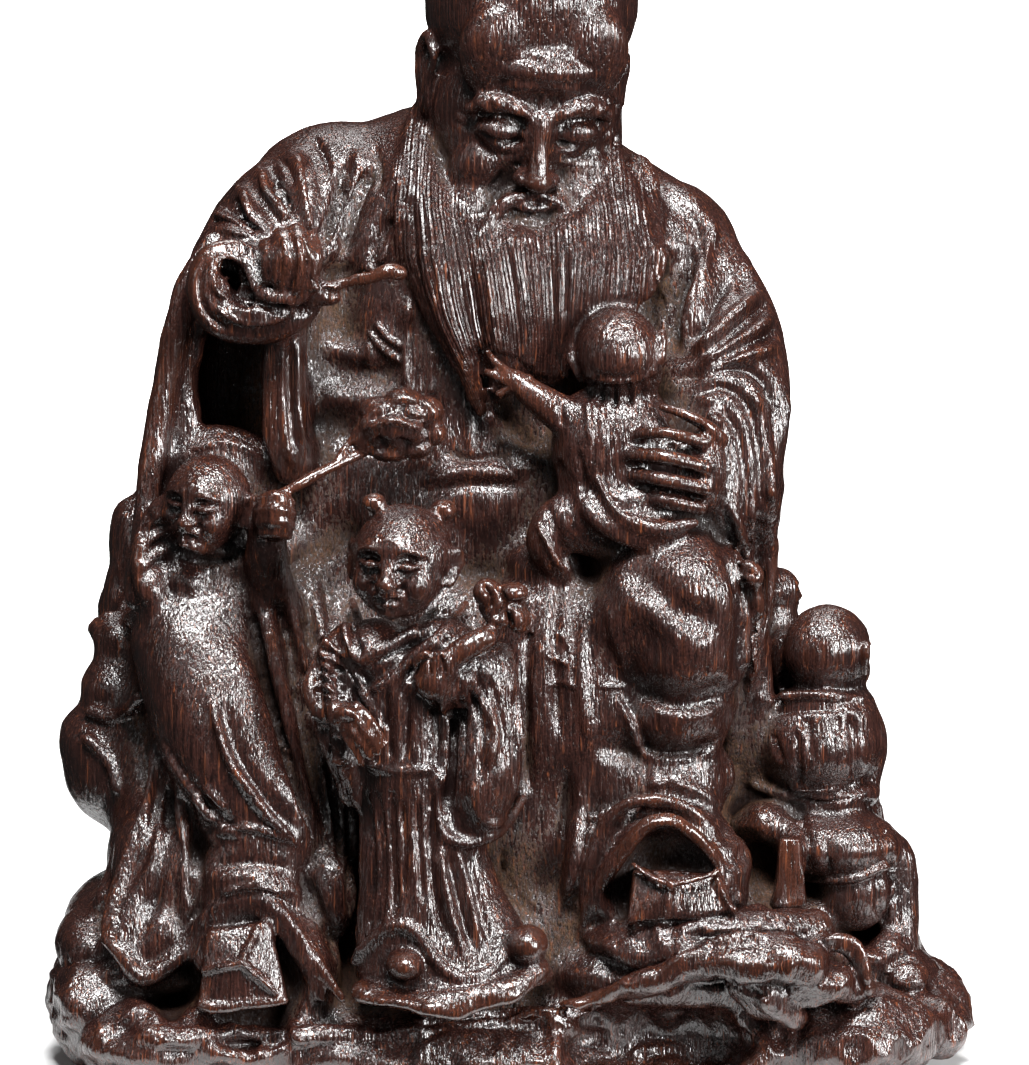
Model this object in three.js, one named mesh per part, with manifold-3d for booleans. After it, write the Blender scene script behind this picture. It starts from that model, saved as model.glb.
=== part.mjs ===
// A carved bamboo group: the god of long life sits on a rock with boys about him.
// Lengths are millimetres, +Z is up, the front faces -Y, and the origin is at the middle of the underside.
import * as THREE from "three";
import { mergeVertices } from "three/addons/utils/BufferGeometryUtils.js";
import Module from "manifold-3d";

// The bamboo block that the group is cut from.
const blockHeight = 180;
const blockWidth = 140;
const blockDepth = 106;

// The low rock under the figures.
const rockHeight = 17; // from the table to the ground that the figures stand on
const rockToeInset = 1.6; // how far the foot of the rock is drawn in under its widest part
const ledgeThickness = 7; // of the shelf that juts out under the old man's left shoe
const standThickness = 3.4; // of the flat stone under the standing boy

// Things held and worn.
const stemRadius = 1.35; // of the fungus stem and the sceptre
const shoeWidth = 17;
const shoeHeight = 11;
const tabletSize = [4.6, 3.2, 9.6];

// The facets of the solid.
const roundSides = 8;
const limbSides = 6;
const foldSides = 3;
const lumpSides = 4;

// Pose and proportions are in hundredths of the height, as a carver squares up a block.
const hundredth = blockHeight / 100;
const halfWidth = blockWidth / 2 / hundredth;
const halfDepth = blockDepth / 2 / hundredth;
const ground = rockHeight / hundredth;

const wasm = await Module();
wasm.setup();

const point = (x, y, z) => new THREE.Vector3(x, y, z);
const radians = THREE.MathUtils.degToRad;

// A closed three.js geometry, given in hundredths, as a solid in millimetres.
function solid(geometry) {
  const bare = new THREE.BufferGeometry();
  bare.setAttribute("position", geometry.getAttribute("position").clone());
  bare.setIndex(geometry.index);
  bare.scale(hundredth, hundredth, hundredth);
  const merged = mergeVertices(bare, 1e-4);
  return new wasm.Manifold(
    new wasm.Mesh({
      numProp: 3,
      vertProperties: merged.attributes.position.array,
      triVerts: new Uint32Array(merged.index.array),
    }),
  );
}

// A skin over a row of rings, each with the same number of points, closed by a fan to a tip at both ends.
function loft(rings, tips) {
  const sides = rings[0].length;
  const points = rings.flat();
  const faces = [];
  for (let i = 0; i + 1 < rings.length; i++) {
    for (let j = 0; j < sides; j++) {
      const a = i * sides + j;
      const b = i * sides + ((j + 1) % sides);
      faces.push(a, b, a + sides, b, b + sides, a + sides);
    }
  }
  const middle = (ring) => ring.reduce((sum, p) => sum.add(p), point(0, 0, 0)).divideScalar(sides);
  const last = points.length - sides;
  points.push(...(tips ?? [middle(rings[0]), middle(rings.at(-1))]));
  for (let j = 0; j < sides; j++) {
    const k = (j + 1) % sides;
    faces.push(k, j, points.length - 2, last + j, last + k, points.length - 1);
  }
  return solid(new THREE.BufferGeometry().setFromPoints(points).setIndex(faces));
}

// A rounded mass with its own half sizes, turned about X, Y and Z in degrees.
function ball(centre, halves, turns = [0, 0, 0], sides = roundSides) {
  const geometry = new THREE.SphereGeometry(1, sides, Math.max(3, Math.round(sides / 2)));
  geometry.rotateX(Math.PI / 2);
  geometry.scale(...halves);
  geometry.applyMatrix4(new THREE.Matrix4().makeRotationFromEuler(new THREE.Euler(...turns.map(radians))));
  geometry.translate(...centre);
  return solid(geometry);
}

// A tapering mass along a smooth line through [x, y, z, radius] stations. Flat squeezes it from front to back.
function limb(stations, flat = 1, sides = limbSides, stepsEach = 1) {
  const line = new THREE.CatmullRomCurve3(stations.map(([x, y, z]) => point(x, y, z)));
  const spans = (stations.length - 1) * stepsEach;
  const ringAt = (t) => {
    const along = line.getTangent(t);
    const spot = Math.min(t * (stations.length - 1), stations.length - 1.001);
    const [from, to] = [stations[Math.floor(spot)][3], stations[Math.floor(spot) + 1][3]];
    const radius = THREE.MathUtils.lerp(from, to, spot % 1);
    const hint = Math.abs(along.y) > 0.85 ? point(0, 0, 1) : point(0, 1, 0);
    const across = hint.clone().cross(along).normalize();
    const depth = along.clone().cross(across);
    return Array.from({ length: sides }, (_, j) => {
      const angle = (2 * Math.PI * j) / sides;
      return line
        .getPoint(t)
        .addScaledVector(across, radius * Math.cos(angle))
        .addScaledVector(depth, radius * flat * Math.sin(angle));
    });
  };
  const tip = (t, reach) => line.getPoint(t).addScaledVector(line.getTangent(t), reach);
  return loft(
    Array.from({ length: spans + 1 }, (_, i) => ringAt(i / spans)),
    [tip(0, -0.8 * stations[0][3]), tip(1, 0.8 * stations.at(-1)[3])],
  );
}

// A thin raised fold of cloth.
const fold = (stations, flat = 1) => limb(stations, flat, foldSides);

// Level rings [z, x, y, half width, half depth], with pleats that deepen towards the lower end.
function gown(levels, pleats = 0, pleatDepth = 0, sides = 16) {
  const top = Math.max(...levels.map((level) => level[0]));
  const bottom = Math.min(...levels.map((level) => level[0]));
  return loft(
    levels.map(([z, x, y, halfX, halfY]) =>
      Array.from({ length: sides }, (_, j) => {
        const angle = (2 * Math.PI * j) / sides;
        const fall = (top - z) / (top - bottom);
        const swell = 1 + pleatDepth * fall * Math.cos(pleats * angle);
        return point(x + halfX * swell * Math.cos(angle), y + halfY * swell * Math.sin(angle), z);
      }),
    ),
  );
}

// A child's head: skull, jaw, nose and ears, facing -Y before it is turned.
function childHead([x, y, z], half, [lean, tilt, turn], tufts = 0) {
  const frame = new THREE.Matrix4()
    .makeRotationFromEuler(new THREE.Euler(radians(lean), radians(tilt), radians(turn), "ZXY"))
    .setPosition(x, y, z);
  const at = (...share) => point(...share).multiplyScalar(half).applyMatrix4(frame).toArray();
  const turns = [lean, tilt, turn];
  const lump = (share, size) => ball(at(...share), size.map((s) => s * half), turns, lumpSides);
  const parts = [
    ball([x, y, z], [0.94 * half, half, 1.06 * half], turns, 10),
    lump([0, -0.8, -0.45], [0.55, 0.4, 0.5]),
    lump([0, -0.97, -0.1], [0.16, 0.22, 0.26]),
    lump([0.93, 0.05, -0.05], [0.18, 0.24, 0.34]),
    lump([-0.93, 0.05, -0.05], [0.18, 0.24, 0.34]),
  ];
  for (let i = 0; i < tufts; i++) parts.push(lump([i ? 0.62 : -0.62, 0.05, 1.02], [0.26, 0.26, 0.28]));
  return parts;
}

// A shoe with a blunt ridged toe that points to the front: the tip of its toe is at y, its sole at z.
function shoe(x, y, z) {
  const half = shoeWidth / 2 / hundredth;
  const high = shoeHeight / hundredth;
  const section = [[-1, 0], [1, 0], [0.82, 0.62], [0.2, 1], [-0.72, 0.8]];
  const ring = (back, grow, rise) =>
    section.map(([across, up]) => point(x + across * half * grow, y + back, z + up * high * rise));
  return loft([ring(9, 1.05, 1.05), ring(1.6, 1, 0.95), ring(0, 0.8, 0.62)]);
}

// The rock: rings with the lumps and bays that water wears, widest a little above the table.
function rock() {
  const sides = 24;
  const worn = (angle, z) =>
    0.035 * Math.sin(5 * angle + 0.9 * z) + 0.03 * Math.cos(9 * angle - 0.6 * z) + 0.02 * Math.sin(14 * angle + z);
  const inset = rockToeInset / hundredth;
  const level = (z, grow) =>
    Array.from({ length: sides }, (_, j) => {
      const angle = (2 * Math.PI * j) / sides;
      const square = (value) => Math.sign(value) * Math.abs(value) ** 0.72;
      const reach = grow * (0.95 + worn(angle, z));
      const sink = j % 2 ? 0.3 : 0;
      return point(
        (halfWidth - inset) * reach * square(Math.cos(angle)),
        (halfDepth - inset) * reach * square(Math.sin(angle)),
        z > ground * 0.9 ? z - sink : z,
      );
    });
  return [
    loft([level(-1, 1), level(ground * 0.3, 1.04), level(ground * 0.62, 1), level(ground * 0.92, 0.93), level(ground * 1.08, 0.82)]),
    ball([-33.2, 1, 25.5], [5.4, 9, 6], [0, 12, 0]),
    ball([-33.6, -3, 31.8], [3, 4, 2.8]),
    ball([-33.3, 2, 36.8], [2.4, 4.5, 3.4]),
    ball([-32.3, 4, 42], [1.9, 4, 3.4]),
    ball([-33, -4, 12], [6.2, 14, 6]),
    ball([34, -4, 6.6], [5.4, 13, 5.8], [0, 20, 0]),
    ball([-19, 17, 15], [16, 11, 14], [0, 0, 15]),
    ball([17, 17, 13], [17, 11, 12], [0, 0, -15]),
    ball([0, 20, 17], [13, 9.8, 14]),
    ball([24, 5, 17], [8, 12, 12]),
  ];
}

// The shelf of rock under the old man's left shoe, and the flat stone under the standing boy.
function ledges() {
  const thick = ledgeThickness / 2 / hundredth;
  const stone = standThickness / 2 / hundredth;
  return [
    limb([[3, -24, ground, thick], [12, -24.5, ground + 2.6, thick + 0.6], [22, -24.6, ground + 3.4, thick + 0.8]], 1.5),
    limb([[20, -24, ground + 3.2, thick], [26, -23, ground + 1.2, thick], [29, -20, ground + 0.4, 1.6]], 1.4),
    ball([14, -17, ground + 2], [12, 9, 3.4]),
    ball([-5.8, -24.7, ground + 0.4 + stone / 2], [8.8, 4.9, stone + 0.5]),
    ball([-24, -22, ground - 2], [9, 5.6, 2.6]),
    limb([[-17, -26.6, 4.6, 2.2], [-6, -27, 5.2, 2.2], [4, -26.4, 5.4, 2]], 1),
  ];
}

// The robed body: one bell from the shoulders to the seat, then thighs, shins and lap cloth.
function robe() {
  return [
    gown([
      [0.5, -2, 3, 30, 21], [16, -3, 4, 29, 21], [34, -5.4, 6, 26.6, 18.6], [50, -4.6, 5, 27, 17],
      [58, -3.5, 4, 26.6, 15.5], [66, -3.2, 3, 23.8, 14], [72, -3.2, 2.4, 20, 12.4], [76, -3.4, 2, 16.2, 11],
      [79, -3.4, 1.5, 11.6, 9], [81, -1, 1, 7.6, 7],
    ]),
    limb([[-10, 2, 42, 8], [-20, -7, 41, 7], [-26.4, -13, 38.4, 5.9]]),
    limb([[-26.4, -13, 38.4, 6], [-25, -15, 31, 6.3], [-22, -17, 24, 5.9], [-19.4, -18, 16, 5.2]]),
    limb([[3, 2, 42, 8], [9, -7, 42, 7], [14, -14, 41, 6.3]]),
    ball([13.6, -15.6, 40.8], [6.6, 7, 7.4]),
    ball([13.4, -15.4, 32], [6.6, 7, 6.6]),
    limb([[13.6, -15, 30, 5.8], [13.6, -16, 22, 5.4], [14.2, -17.4, 16, 5.6]]),
    ball([-2, -6.4, 26], [19, 13, 20]),
    ball([-29, -6, 20], [7.4, 8.6, 17], [0, -8, 0]),
    ball([-1.5, -7, 50], [11, 6.4, 7.6]),
  ];
}

// Cloth folds that catch the light from a step away.
function folds() {
  const legPleats = [
    [[-24.4, -18.4, 39, 1.1], [-22.4, -20.4, 31, 1.2], [-18.4, -21.6, 20, 1.1]],
    [[-29.4, -16.4, 36, 1], [-27.4, -19.4, 28, 1.2], [-23.4, -21.2, 19, 1.1]],
    [[-19.6, -14, 41, 1.2], [-17.6, -17, 32, 1.4], [-15, -18.4, 19, 1.3]],
  ];
  const trail = [0, 1, 2].map((i) => [
    [-30.6 + 2 * i, -9.6 - 2.2 * i, 33 - 3 * i, 1],
    [-32 + 3.2 * i, -11.6 - 2.4 * i, 21, 1.3],
    [-36 + 4 * i, -12.6 - 2.8 * i, 12, 1.6],
  ]);
  const shoulderFan = [-19, -15.6, -12.2].map((x, i) => [
    [x, -6.8 + 0.4 * i, 75.4 + 0.6 * i, 1.1],
    [x + 1.6, -9.8, 71.4, 1.2],
    [-13.2 + 1.2 * i, -10.8, 66, 0.9],
  ]);
  const armFan = [0, 1, 2].map((i) => [
    [14.4 + 2.4 * i, -7.6 + 1.1 * i, 72 - 2.4 * i, 0.9],
    [15.6 + 1.6 * i, -10.8 + 0.6 * i, 66 - 1.6 * i, 1],
    [15 + 0.4 * i, -12, 61 - 0.6 * i, 0.8],
  ]);
  const sleeveArcs = [0, 1, 2].map((i) => [
    [13 + 1.2 * i, -13.4 - 0.3 * i, 58.2 + 0.9 * i, 0.7],
    [19.4 + 0.9 * i, -13.4, 56.4 + 0.6 * i, 0.9],
    [21 + 0.6 * i, -12.6 + 0.4 * i, 48, 1],
    [20.6 + 0.4 * i, -11.4 + 0.6 * i, 38 - 0.6 * i, 0.8],
  ]);
  const arches = [
    [[-26, -20.6, 11, 1.1], [-24.8, -21.6, 15.6, 1.1], [-22, -22, 17.6, 1.1], [-18.4, -22, 16, 1.1], [-15, -22.6, 9.6, 1.1]],
    [[6.6, -20, 15.6, 1.1], [9, -21, 21.6, 1.1], [12.8, -21.6, 23.4, 1.1], [16.6, -21, 22, 1.1], [20.6, -19.4, 16.6, 1.1]],
  ];
  const kneeRolls = [
    [[7.6, -19.6, 44, 1], [12.4, -21.6, 39, 1.3], [16.4, -20.6, 35.4, 0.9]],
    [[8.6, -20, 31, 0.9], [13.6, -21.6, 28.4, 1.1], [18.6, -19.6, 30, 0.9]],
  ];
  const lapel = [
    [[-9.4, -9, 69, 0.9], [-7.4, -11.6, 60, 0.9], [-4.6, -13.6, 50, 0.9]],
    [[-9, -12.4, 51, 0.8], [-3, -13.8, 51.8, 0.9], [4, -13, 50.6, 0.8]],
    [[-9, -13, 47.6, 0.7], [-3, -14, 46.6, 0.8], [5, -13, 46.8, 0.7]],
  ];
  return [...legPleats, ...trail, ...shoulderFan, ...armFan, ...sleeveArcs, ...arches, ...kneeRolls, ...lapel]
    .map((stations) => fold(stations));
}

// His right arm is raised: the wide sleeve hangs open from it like a curtain.
function raisedSleeve() {
  return [
    limb([[-13.6, 0, 72.4, 7], [-20.4, -3, 69.6, 6.4], [-22.6, -8, 66.4, 5.4]]),
    limb([[-22.6, -8, 66, 5], [-21.4, -13, 66.4, 4.6]]),
    limb([[-26, -11.6, 68.4, 1.5], [-26.4, -14, 64.4, 1.5], [-22.6, -15, 62.2, 1.6], [-18, -15, 63.6, 1.4]]),
    limb([[-25.4, -8, 66, 3], [-27.4, -8.4, 58, 3], [-28.9, -8.6, 49, 3], [-30.6, -9, 41, 2.6]], 1.2),
    limb([[-17.6, -11.6, 64, 1.9], [-17.4, -11.4, 57, 1.9], [-18, -11.6, 49, 2.2]], 1.2),
    fold([[-32.4, -12.4, 39.4, 0.9], [-27.6, -16.8, 41.2, 0.9], [-21.6, -18, 43.2, 0.8]]),
  ];
}

// His left arm holds the smallest boy against his chest.
function holdingArm() {
  const fingers = [0, 1, 2, 3].map((i) =>
    limb([
      [17.4, -18, 55 - 1.7 * i, 0.95],
      [13.4 - 0.3 * (i % 3), -18.9, 55.1 - 1.75 * i, 0.95],
      [10.2 + 0.5 * Math.abs(i - 1.5), -18, 55.2 - 1.8 * i, 0.75],
    ], 1, lumpSides));
  return [
    limb([[10.6, 0, 71.6, 6.6], [16.8, -3, 66.4, 7.2], [18.4, -7.6, 58, 6.4], [18, -11, 50, 5.6]]),
    limb([[19, -8, 50, 4.6], [19.4, -9, 42, 3.6], [19.6, -9, 35, 2.4]]),
    ball([18.2, -15.6, 52.2], [3.1, 2.8, 4]),
    limb([[18.4, -16.6, 56, 1], [15.8, -17.6, 57.4, 1]], 1, lumpSides),
    ...fingers,
  ];
}

// The old man's hand above his right shoulder, and the short broken twig in it.
function raisedHand() {
  const knuckles = [0, 1, 2, 3].map((i) =>
    limb([
      [-20 + 0.3 * i, -17.4, 70.2 - 1.3 * i, 0.85],
      [-17.4 + 0.3 * i, -18.2, 69.8 - 1.3 * i, 0.85],
      [-16.2 + 0.3 * i, -16.6, 69.2 - 1.3 * i, 0.7],
    ], 1, lumpSides));
  return [
    ball([-19.4, -15, 68.4], [3.1, 2.8, 3.7], [0, 20, 0]),
    limb([[-21, -16, 71, 0.9], [-18.6, -17.4, 72.2, 0.8], [-16.8, -17.6, 71.6, 0.7]], 1, lumpSides),
    limb([[-16.8, -15.6, 66.4, 1.3], [-13, -16.4, 67.6, 0.8], [-9.6, -16.4, 68.2, 0.9], [-8.6, -16.4, 68.4, 1.1]], 1, lumpSides),
    ...knuckles,
  ];
}

// The tall bald skull, with a long beard that spreads over the chest.
function oldHead() {
  const strands = [-2.4, -1.2, 0, 1.2, 2.4].map((i) =>
    limb([
      [1 + 1.5 * i, -11.6 + 0.18 * i * i, 71, 1],
      [0.8 + 1.3 * i, -13.8 + 0.16 * i * i, 64.6, 1.1],
      [0.6 + 0.7 * i, -13.2 + 0.1 * i * i, 58.6 + 0.3 * i * i, 0.5],
    ], 0.8, foldSides));
  return [
    ball([1.2, -3.6, 80.4], [7.9, 8.2, 9.8], [14, 6, 8], 10),
    ball([1.8, -3.2, 90.3], [8.8, 9, 10], [8, 6, 8], 12),
    ball([1.4, -9.6, 76], [5.4, 2.8, 4.2], [0, 4, 8]),
    limb([[1.7, -11, 83, 0.8], [1.5, -12.4, 79.6, 1], [1.4, -13, 78, 1.2]], 1, lumpSides),
    ball([-3, -9.2, 84.4], [3, 2, 1.1], [0, -8, 0], 8),
    ball([5.6, -9, 84.6], [3, 2, 1.1], [0, 12, 0], 8),
    ball([-6.9, -1.6, 83.4], [1.2, 2.2, 4], [0, 4, 0], 8),
    ball([8.4, -0.8, 83.4], [1.1, 2.2, 4], [0, 4, 0], 8),
    limb([[1.2, -10, 73, 4.6], [0.8, -11.4, 67, 5.4], [0.6, -11.2, 60.6, 3.6], [0.6, -11, 57.4, 1.8]], 0.5),
    limb([[-7.2, -3.6, 79, 2.4], [-9, -7, 72, 3.4], [-6.8, -9.4, 64.6, 3], [-3.6, -10.4, 58, 1.4]], 0.7),
    limb([[9.2, -3, 78, 2.4], [10, -6.6, 71.6, 3.4], [8.6, -9, 65.6, 3], [5, -10.6, 60.4, 1.4]], 0.7),
    limb([[1.6, -12.2, 75.4, 0.9], [-1.4, -12.2, 74.2, 0.9], [-3.6, -11.4, 70.4, 0.6]], 1, lumpSides),
    limb([[1.6, -12.2, 75.4, 0.9], [4.6, -12, 74.2, 0.9], [6.4, -11, 70.6, 0.6]], 1, lumpSides),
    ...strands,
  ];
}

// The smallest boy lies in the old man's arm and reaches up for the beard.
function boyInArms() {
  return [
    ...childHead([9, -15.4, 62.2], 3.9, [-60, 0, 160]),
    ball([9.2, -13.6, 53.4], [4.7, 4, 6.6]),
    limb([[6, -15.4, 56.8, 2.2], [2, -15.6, 58, 1.5], [-1, -15.2, 60.2, 1]]),
    limb([[-0.6, -15.2, 60, 0.7], [-2.2, -15, 61.6, 0.5]], 1, lumpSides),
    limb([[-0.2, -15.4, 60.4, 0.7], [-0.4, -15.4, 62.2, 0.5]], 1, lumpSides),
    limb([[11.6, -14.6, 46, 2.8], [7.6, -15.6, 45.8, 3], [4.6, -15, 49, 2]]),
    limb([[8, -13, 47, 3], [3.4, -15.4, 47.4, 2.4], [2.2, -15.4, 43.6, 1.8]]),
    ball([1.2, -15.4, 42.4], [1.6, 2, 1.2], [0, 30, 0], 8),
  ];
}

// A boy peeps out under the hanging sleeve with a long-stemmed fungus over his shoulder.
function boyWithFungus() {
  const stem = stemRadius / hundredth;
  const caps = Array.from({ length: 5 }, (_, i) => {
    const angle = (2 * Math.PI * i) / 5;
    return ball([-9.2 + 2.3 * Math.cos(angle), -16.4, 55.6 + 1.4 * Math.sin(angle)], [1.4, 1.2, 1.2], [0, 0, 0], lumpSides);
  });
  return [
    ...childHead([-25.3, -15, 49.4], 3.8, [6, 6, -28]),
    ball([-24.6, -11.6, 50.6], [4.8, 3.4, 4.6]),
    ball([-26, -10.6, 43.6], [5.4, 4.6, 5]),
    limb([[-29, -12, 46, 1.8], [-31, -13, 43.4, 1.9], [-29.6, -14.4, 41.4, 1.6]]),
    limb([[-22, -13, 42.6, 2.6], [-20.8, -15, 45.6, 2.2], [-20.3, -16.8, 48.6, 2.2]]),
    limb([[-23.4, -17.4, 48.2, stem], [-17.6, -17.6, 51, stem], [-11.6, -16, 54.4, stem]], 1, lumpSides),
    ball([-9.2, -13.6, 55.6], [3.4, 3.8, 2.4]),
    ...caps,
  ];
}

// The boy in front stands on a flat stone and holds a short sceptre across his body.
function standingBoy() {
  const stem = stemRadius / hundredth;
  return [
    ...childHead([-9.6, -22.6, 45.7], 4.5, [4, 4, -18], 2),
    gown([
      [10.6, -5.6, -23.4, 8.2, 4.9], [14, -6.2, -23, 7.4, 4.6], [20, -7.6, -22.4, 6.2, 4.3], [27, -8.4, -22, 5.4, 4],
      [33, -8, -22, 6.4, 4.2], [37, -8.2, -21.8, 6.8, 4], [39.6, -8.8, -21.8, 4.6, 3.4], [41.4, -9.2, -21.8, 2.4, 2.4],
    ], 8, 0.09),
    limb([[-13.6, -22, 37, 2.4], [-15.4, -23, 33.4, 2.4], [-13.6, -24.8, 31, 1.9]]),
    limb([[-15, -22.6, 34, 2], [-14.6, -22.6, 28.6, 1.8], [-13.8, -22.6, 24.6, 1]]),
    limb([[-2.6, -21.6, 37, 2.4], [-2.4, -23.4, 35.8, 2.3], [-5.8, -25.6, 35.4, 1.8]]),
    limb([[-3, -23.6, 35.6, 2.1], [-1.2, -23.4, 29, 3.2], [-1.6, -23.4, 24.6, 2.9]], 0.75),
    ball([-6.8, -26.2, 35.6], [1.7, 1.6, 1.8], [0, 0, 0], lumpSides),
    ball([-12.4, -26, 31.4], [1.8, 1.5, 1.9], [0, 30, 0], 8),
    limb([[-11.8, -27, 30.2, stem * 1.3], [-6.4, -27.3, 35.6, stem], [-1.8, -26, 40.2, stem * 1.2]], 1, lumpSides),
    ball([-1.7, -25.8, 42.2], [1.2, 1.3, 1.7], [0, 0, 0], lumpSides),
    ball([0.3, -25.6, 41.6], [1.4, 1.3, 1.8], [0, 0, 0], lumpSides),
    ball([-9, -26.2, 11.4], [1.9, 2, 1.5], [0, 0, 0], lumpSides),
    ball([1.2, -24.6, 12.6], [1.9, 2, 1.6], [0, 0, 0], lumpSides),
  ];
}

// The boy at the right kneels with his back to the front, behind a small upright tablet.
function kneelingBoy() {
  const [wide, deep, high] = tabletSize.map((size) => size / hundredth);
  const tablet = new THREE.BoxGeometry(wide, deep, high);
  tablet.translate(23.4, -13.4, ground + 3 + high / 2);
  return [
    ...childHead([26.1, -6.6, 35], 4.2, [10, 0, 150]),
    ball([25.6, -6.6, 27], [5.7, 5.4, 5.2]),
    limb([[29.4, -6.4, 29.6, 2.2], [30.8, -5.6, 26.4, 1.8], [30.2, -4.6, 23.6, 1.1]]),
    ball([26, -7.6, 18.4], [6.3, 6.2, 4.4]),
    limb([[29.6, -7, 19.6, 2.6], [32, -7, 17.6, 2.2], [32.2, -7, 12.8, 1.9]]),
    limb([[32, -8.4, 11.2, 1.4], [29, -10, 10.8, 1.3]], 1, lumpSides),
    ball([20.8, -9.6, 21.8], [2, 2.4, 1.9], [0, 0, 0], lumpSides),
    ball([25, -6, 12], [7, 6, 4]),
    solid(tablet),
  ];
}

// A smaller boy climbs the rock behind the old man's left side.
function climbingBoy() {
  return [
    ball([22.4, 7, 38.6], [2.2, 2.3, 2.5]),
    limb([[22, 8, 34.6, 3.2], [20, 11, 28, 4.2], [18, 13, 20, 4.4]]),
    limb([[24, 6.4, 35.4, 1.5], [25.4, 5, 33, 1.2]], 1, lumpSides),
  ];
}

// The block's own faces: nothing is carved past them, and the underside is flat.
function block() {
  const geometry = new THREE.BoxGeometry(2 * halfWidth, 2 * halfDepth, 100);
  geometry.translate(0, 0, 50);
  return solid(geometry);
}

// The deep hollow inside the hanging sleeve.
const sleeveHollow = () => ball([-23.4, -9, 57.4], [3.2, 5.4, 5.6]);

const masses = [
  ...rock(), ...ledges(), ...robe(), ...folds(), ...raisedSleeve(), ...holdingArm(), ...oldHead(),
];
const figures = [
  ...raisedHand(), ...boyInArms(), ...boyWithFungus(), ...standingBoy(), ...kneelingBoy(), ...climbingBoy(),
  shoe(-22.4, -26.4, 8.2), shoe(14, -26.4, 14.2),
];
const carved = wasm.Manifold.union(masses)
  .subtract(sleeveHollow())
  .add(wasm.Manifold.union(figures))
  .intersect(block());

// Pockets that the masses shut in between them are filled, as they are in the bamboo.
const whole = wasm.Manifold.union(carved.decompose().filter((piece) => piece.volume() > 0));

const mesh = whole.getMesh();
const geometry = new THREE.BufferGeometry();
geometry.setAttribute("position", new THREE.BufferAttribute(new Float32Array(mesh.vertProperties), 3));
geometry.setIndex(new THREE.BufferAttribute(mesh.triVerts, 1));
geometry.computeVertexNormals();

const bamboo = new THREE.MeshStandardMaterial({ color: 0x4a2a1c, roughness: 0.35, metalness: 0 });
const carving = new THREE.Mesh(geometry, bamboo);
carving.name = "shou_lao_carving";

const part = new THREE.Group();
part.add(carving);
export default part;
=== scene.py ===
import bpy
import math
import numpy as np
from mathutils import Euler, Matrix, Vector


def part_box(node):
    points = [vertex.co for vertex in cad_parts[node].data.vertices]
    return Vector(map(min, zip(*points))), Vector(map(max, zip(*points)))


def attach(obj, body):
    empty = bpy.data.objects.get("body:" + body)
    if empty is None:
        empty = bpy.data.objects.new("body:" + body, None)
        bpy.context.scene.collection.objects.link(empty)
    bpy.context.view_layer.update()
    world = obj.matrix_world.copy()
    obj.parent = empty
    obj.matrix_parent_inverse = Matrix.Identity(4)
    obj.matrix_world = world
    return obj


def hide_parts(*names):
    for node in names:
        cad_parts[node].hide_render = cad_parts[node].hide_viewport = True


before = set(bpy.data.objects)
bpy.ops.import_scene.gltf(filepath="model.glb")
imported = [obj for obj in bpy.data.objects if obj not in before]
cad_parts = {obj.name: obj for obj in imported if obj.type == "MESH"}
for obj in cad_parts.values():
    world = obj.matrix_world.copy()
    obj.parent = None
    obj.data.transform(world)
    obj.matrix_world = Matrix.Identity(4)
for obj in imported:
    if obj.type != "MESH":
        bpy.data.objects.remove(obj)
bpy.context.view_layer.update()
carvingNode = "shou_lao_carving"
lowCorner, highCorner = (Vector(corner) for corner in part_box(carvingNode))
unit = (highCorner.z - lowCorner.z) / 100  # places and sizes below are hundredths of the height


# Masses: rounded lumps and tapering limbs, which a remesh melts into one skin

workPile = []
limbPile = {}
lumpRings = 12
capShape = ((0.95, 0.3), (0.8, 0.6), (0.5, 0.87))  # how the round end of a limb draws in
thinnestLimb = 0.12


def clearSelection():
    bpy.ops.object.select_all(action="DESELECT")


def activate(piece):
    clearSelection()
    piece.select_set(True)
    bpy.context.view_layer.objects.active = piece


def addLump(centre, halves, turns=(0, 0, 0)):
    bpy.ops.mesh.primitive_uv_sphere_add(
        segments=2 * lumpRings,
        ring_count=lumpRings,
        radius=1,
        location=[unit * v for v in centre],
        rotation=[math.radians(v) for v in turns],
    )
    lump = bpy.context.object
    lump.scale = [unit * v for v in halves]
    workPile.append(lump)


def smoothLine(points, steps=5):
    # Catmull-Rom through the points, each a tuple of any length
    p = np.array(points, dtype=float)
    p = np.vstack([2 * p[0] - p[1], p, 2 * p[-1] - p[-2]])
    t = np.linspace(0, 1, steps, endpoint=False)[:, None]
    out = []
    for a, b, c, d in zip(p[:-3], p[1:-2], p[2:-1], p[3:]):
        out.append(0.5 * (2 * b + (c - a) * t + (2 * a - 5 * b + 4 * c - d) * t**2 + (3 * b - a - 3 * c + d) * t**3))
    return np.vstack(out + [p[-2:-1]])


def addLimb(stations, flat=1.0):
    # a tube of given radii with round ends; flat squeezes it from front to back
    limbPile.setdefault(flat, []).append(stations)


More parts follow.
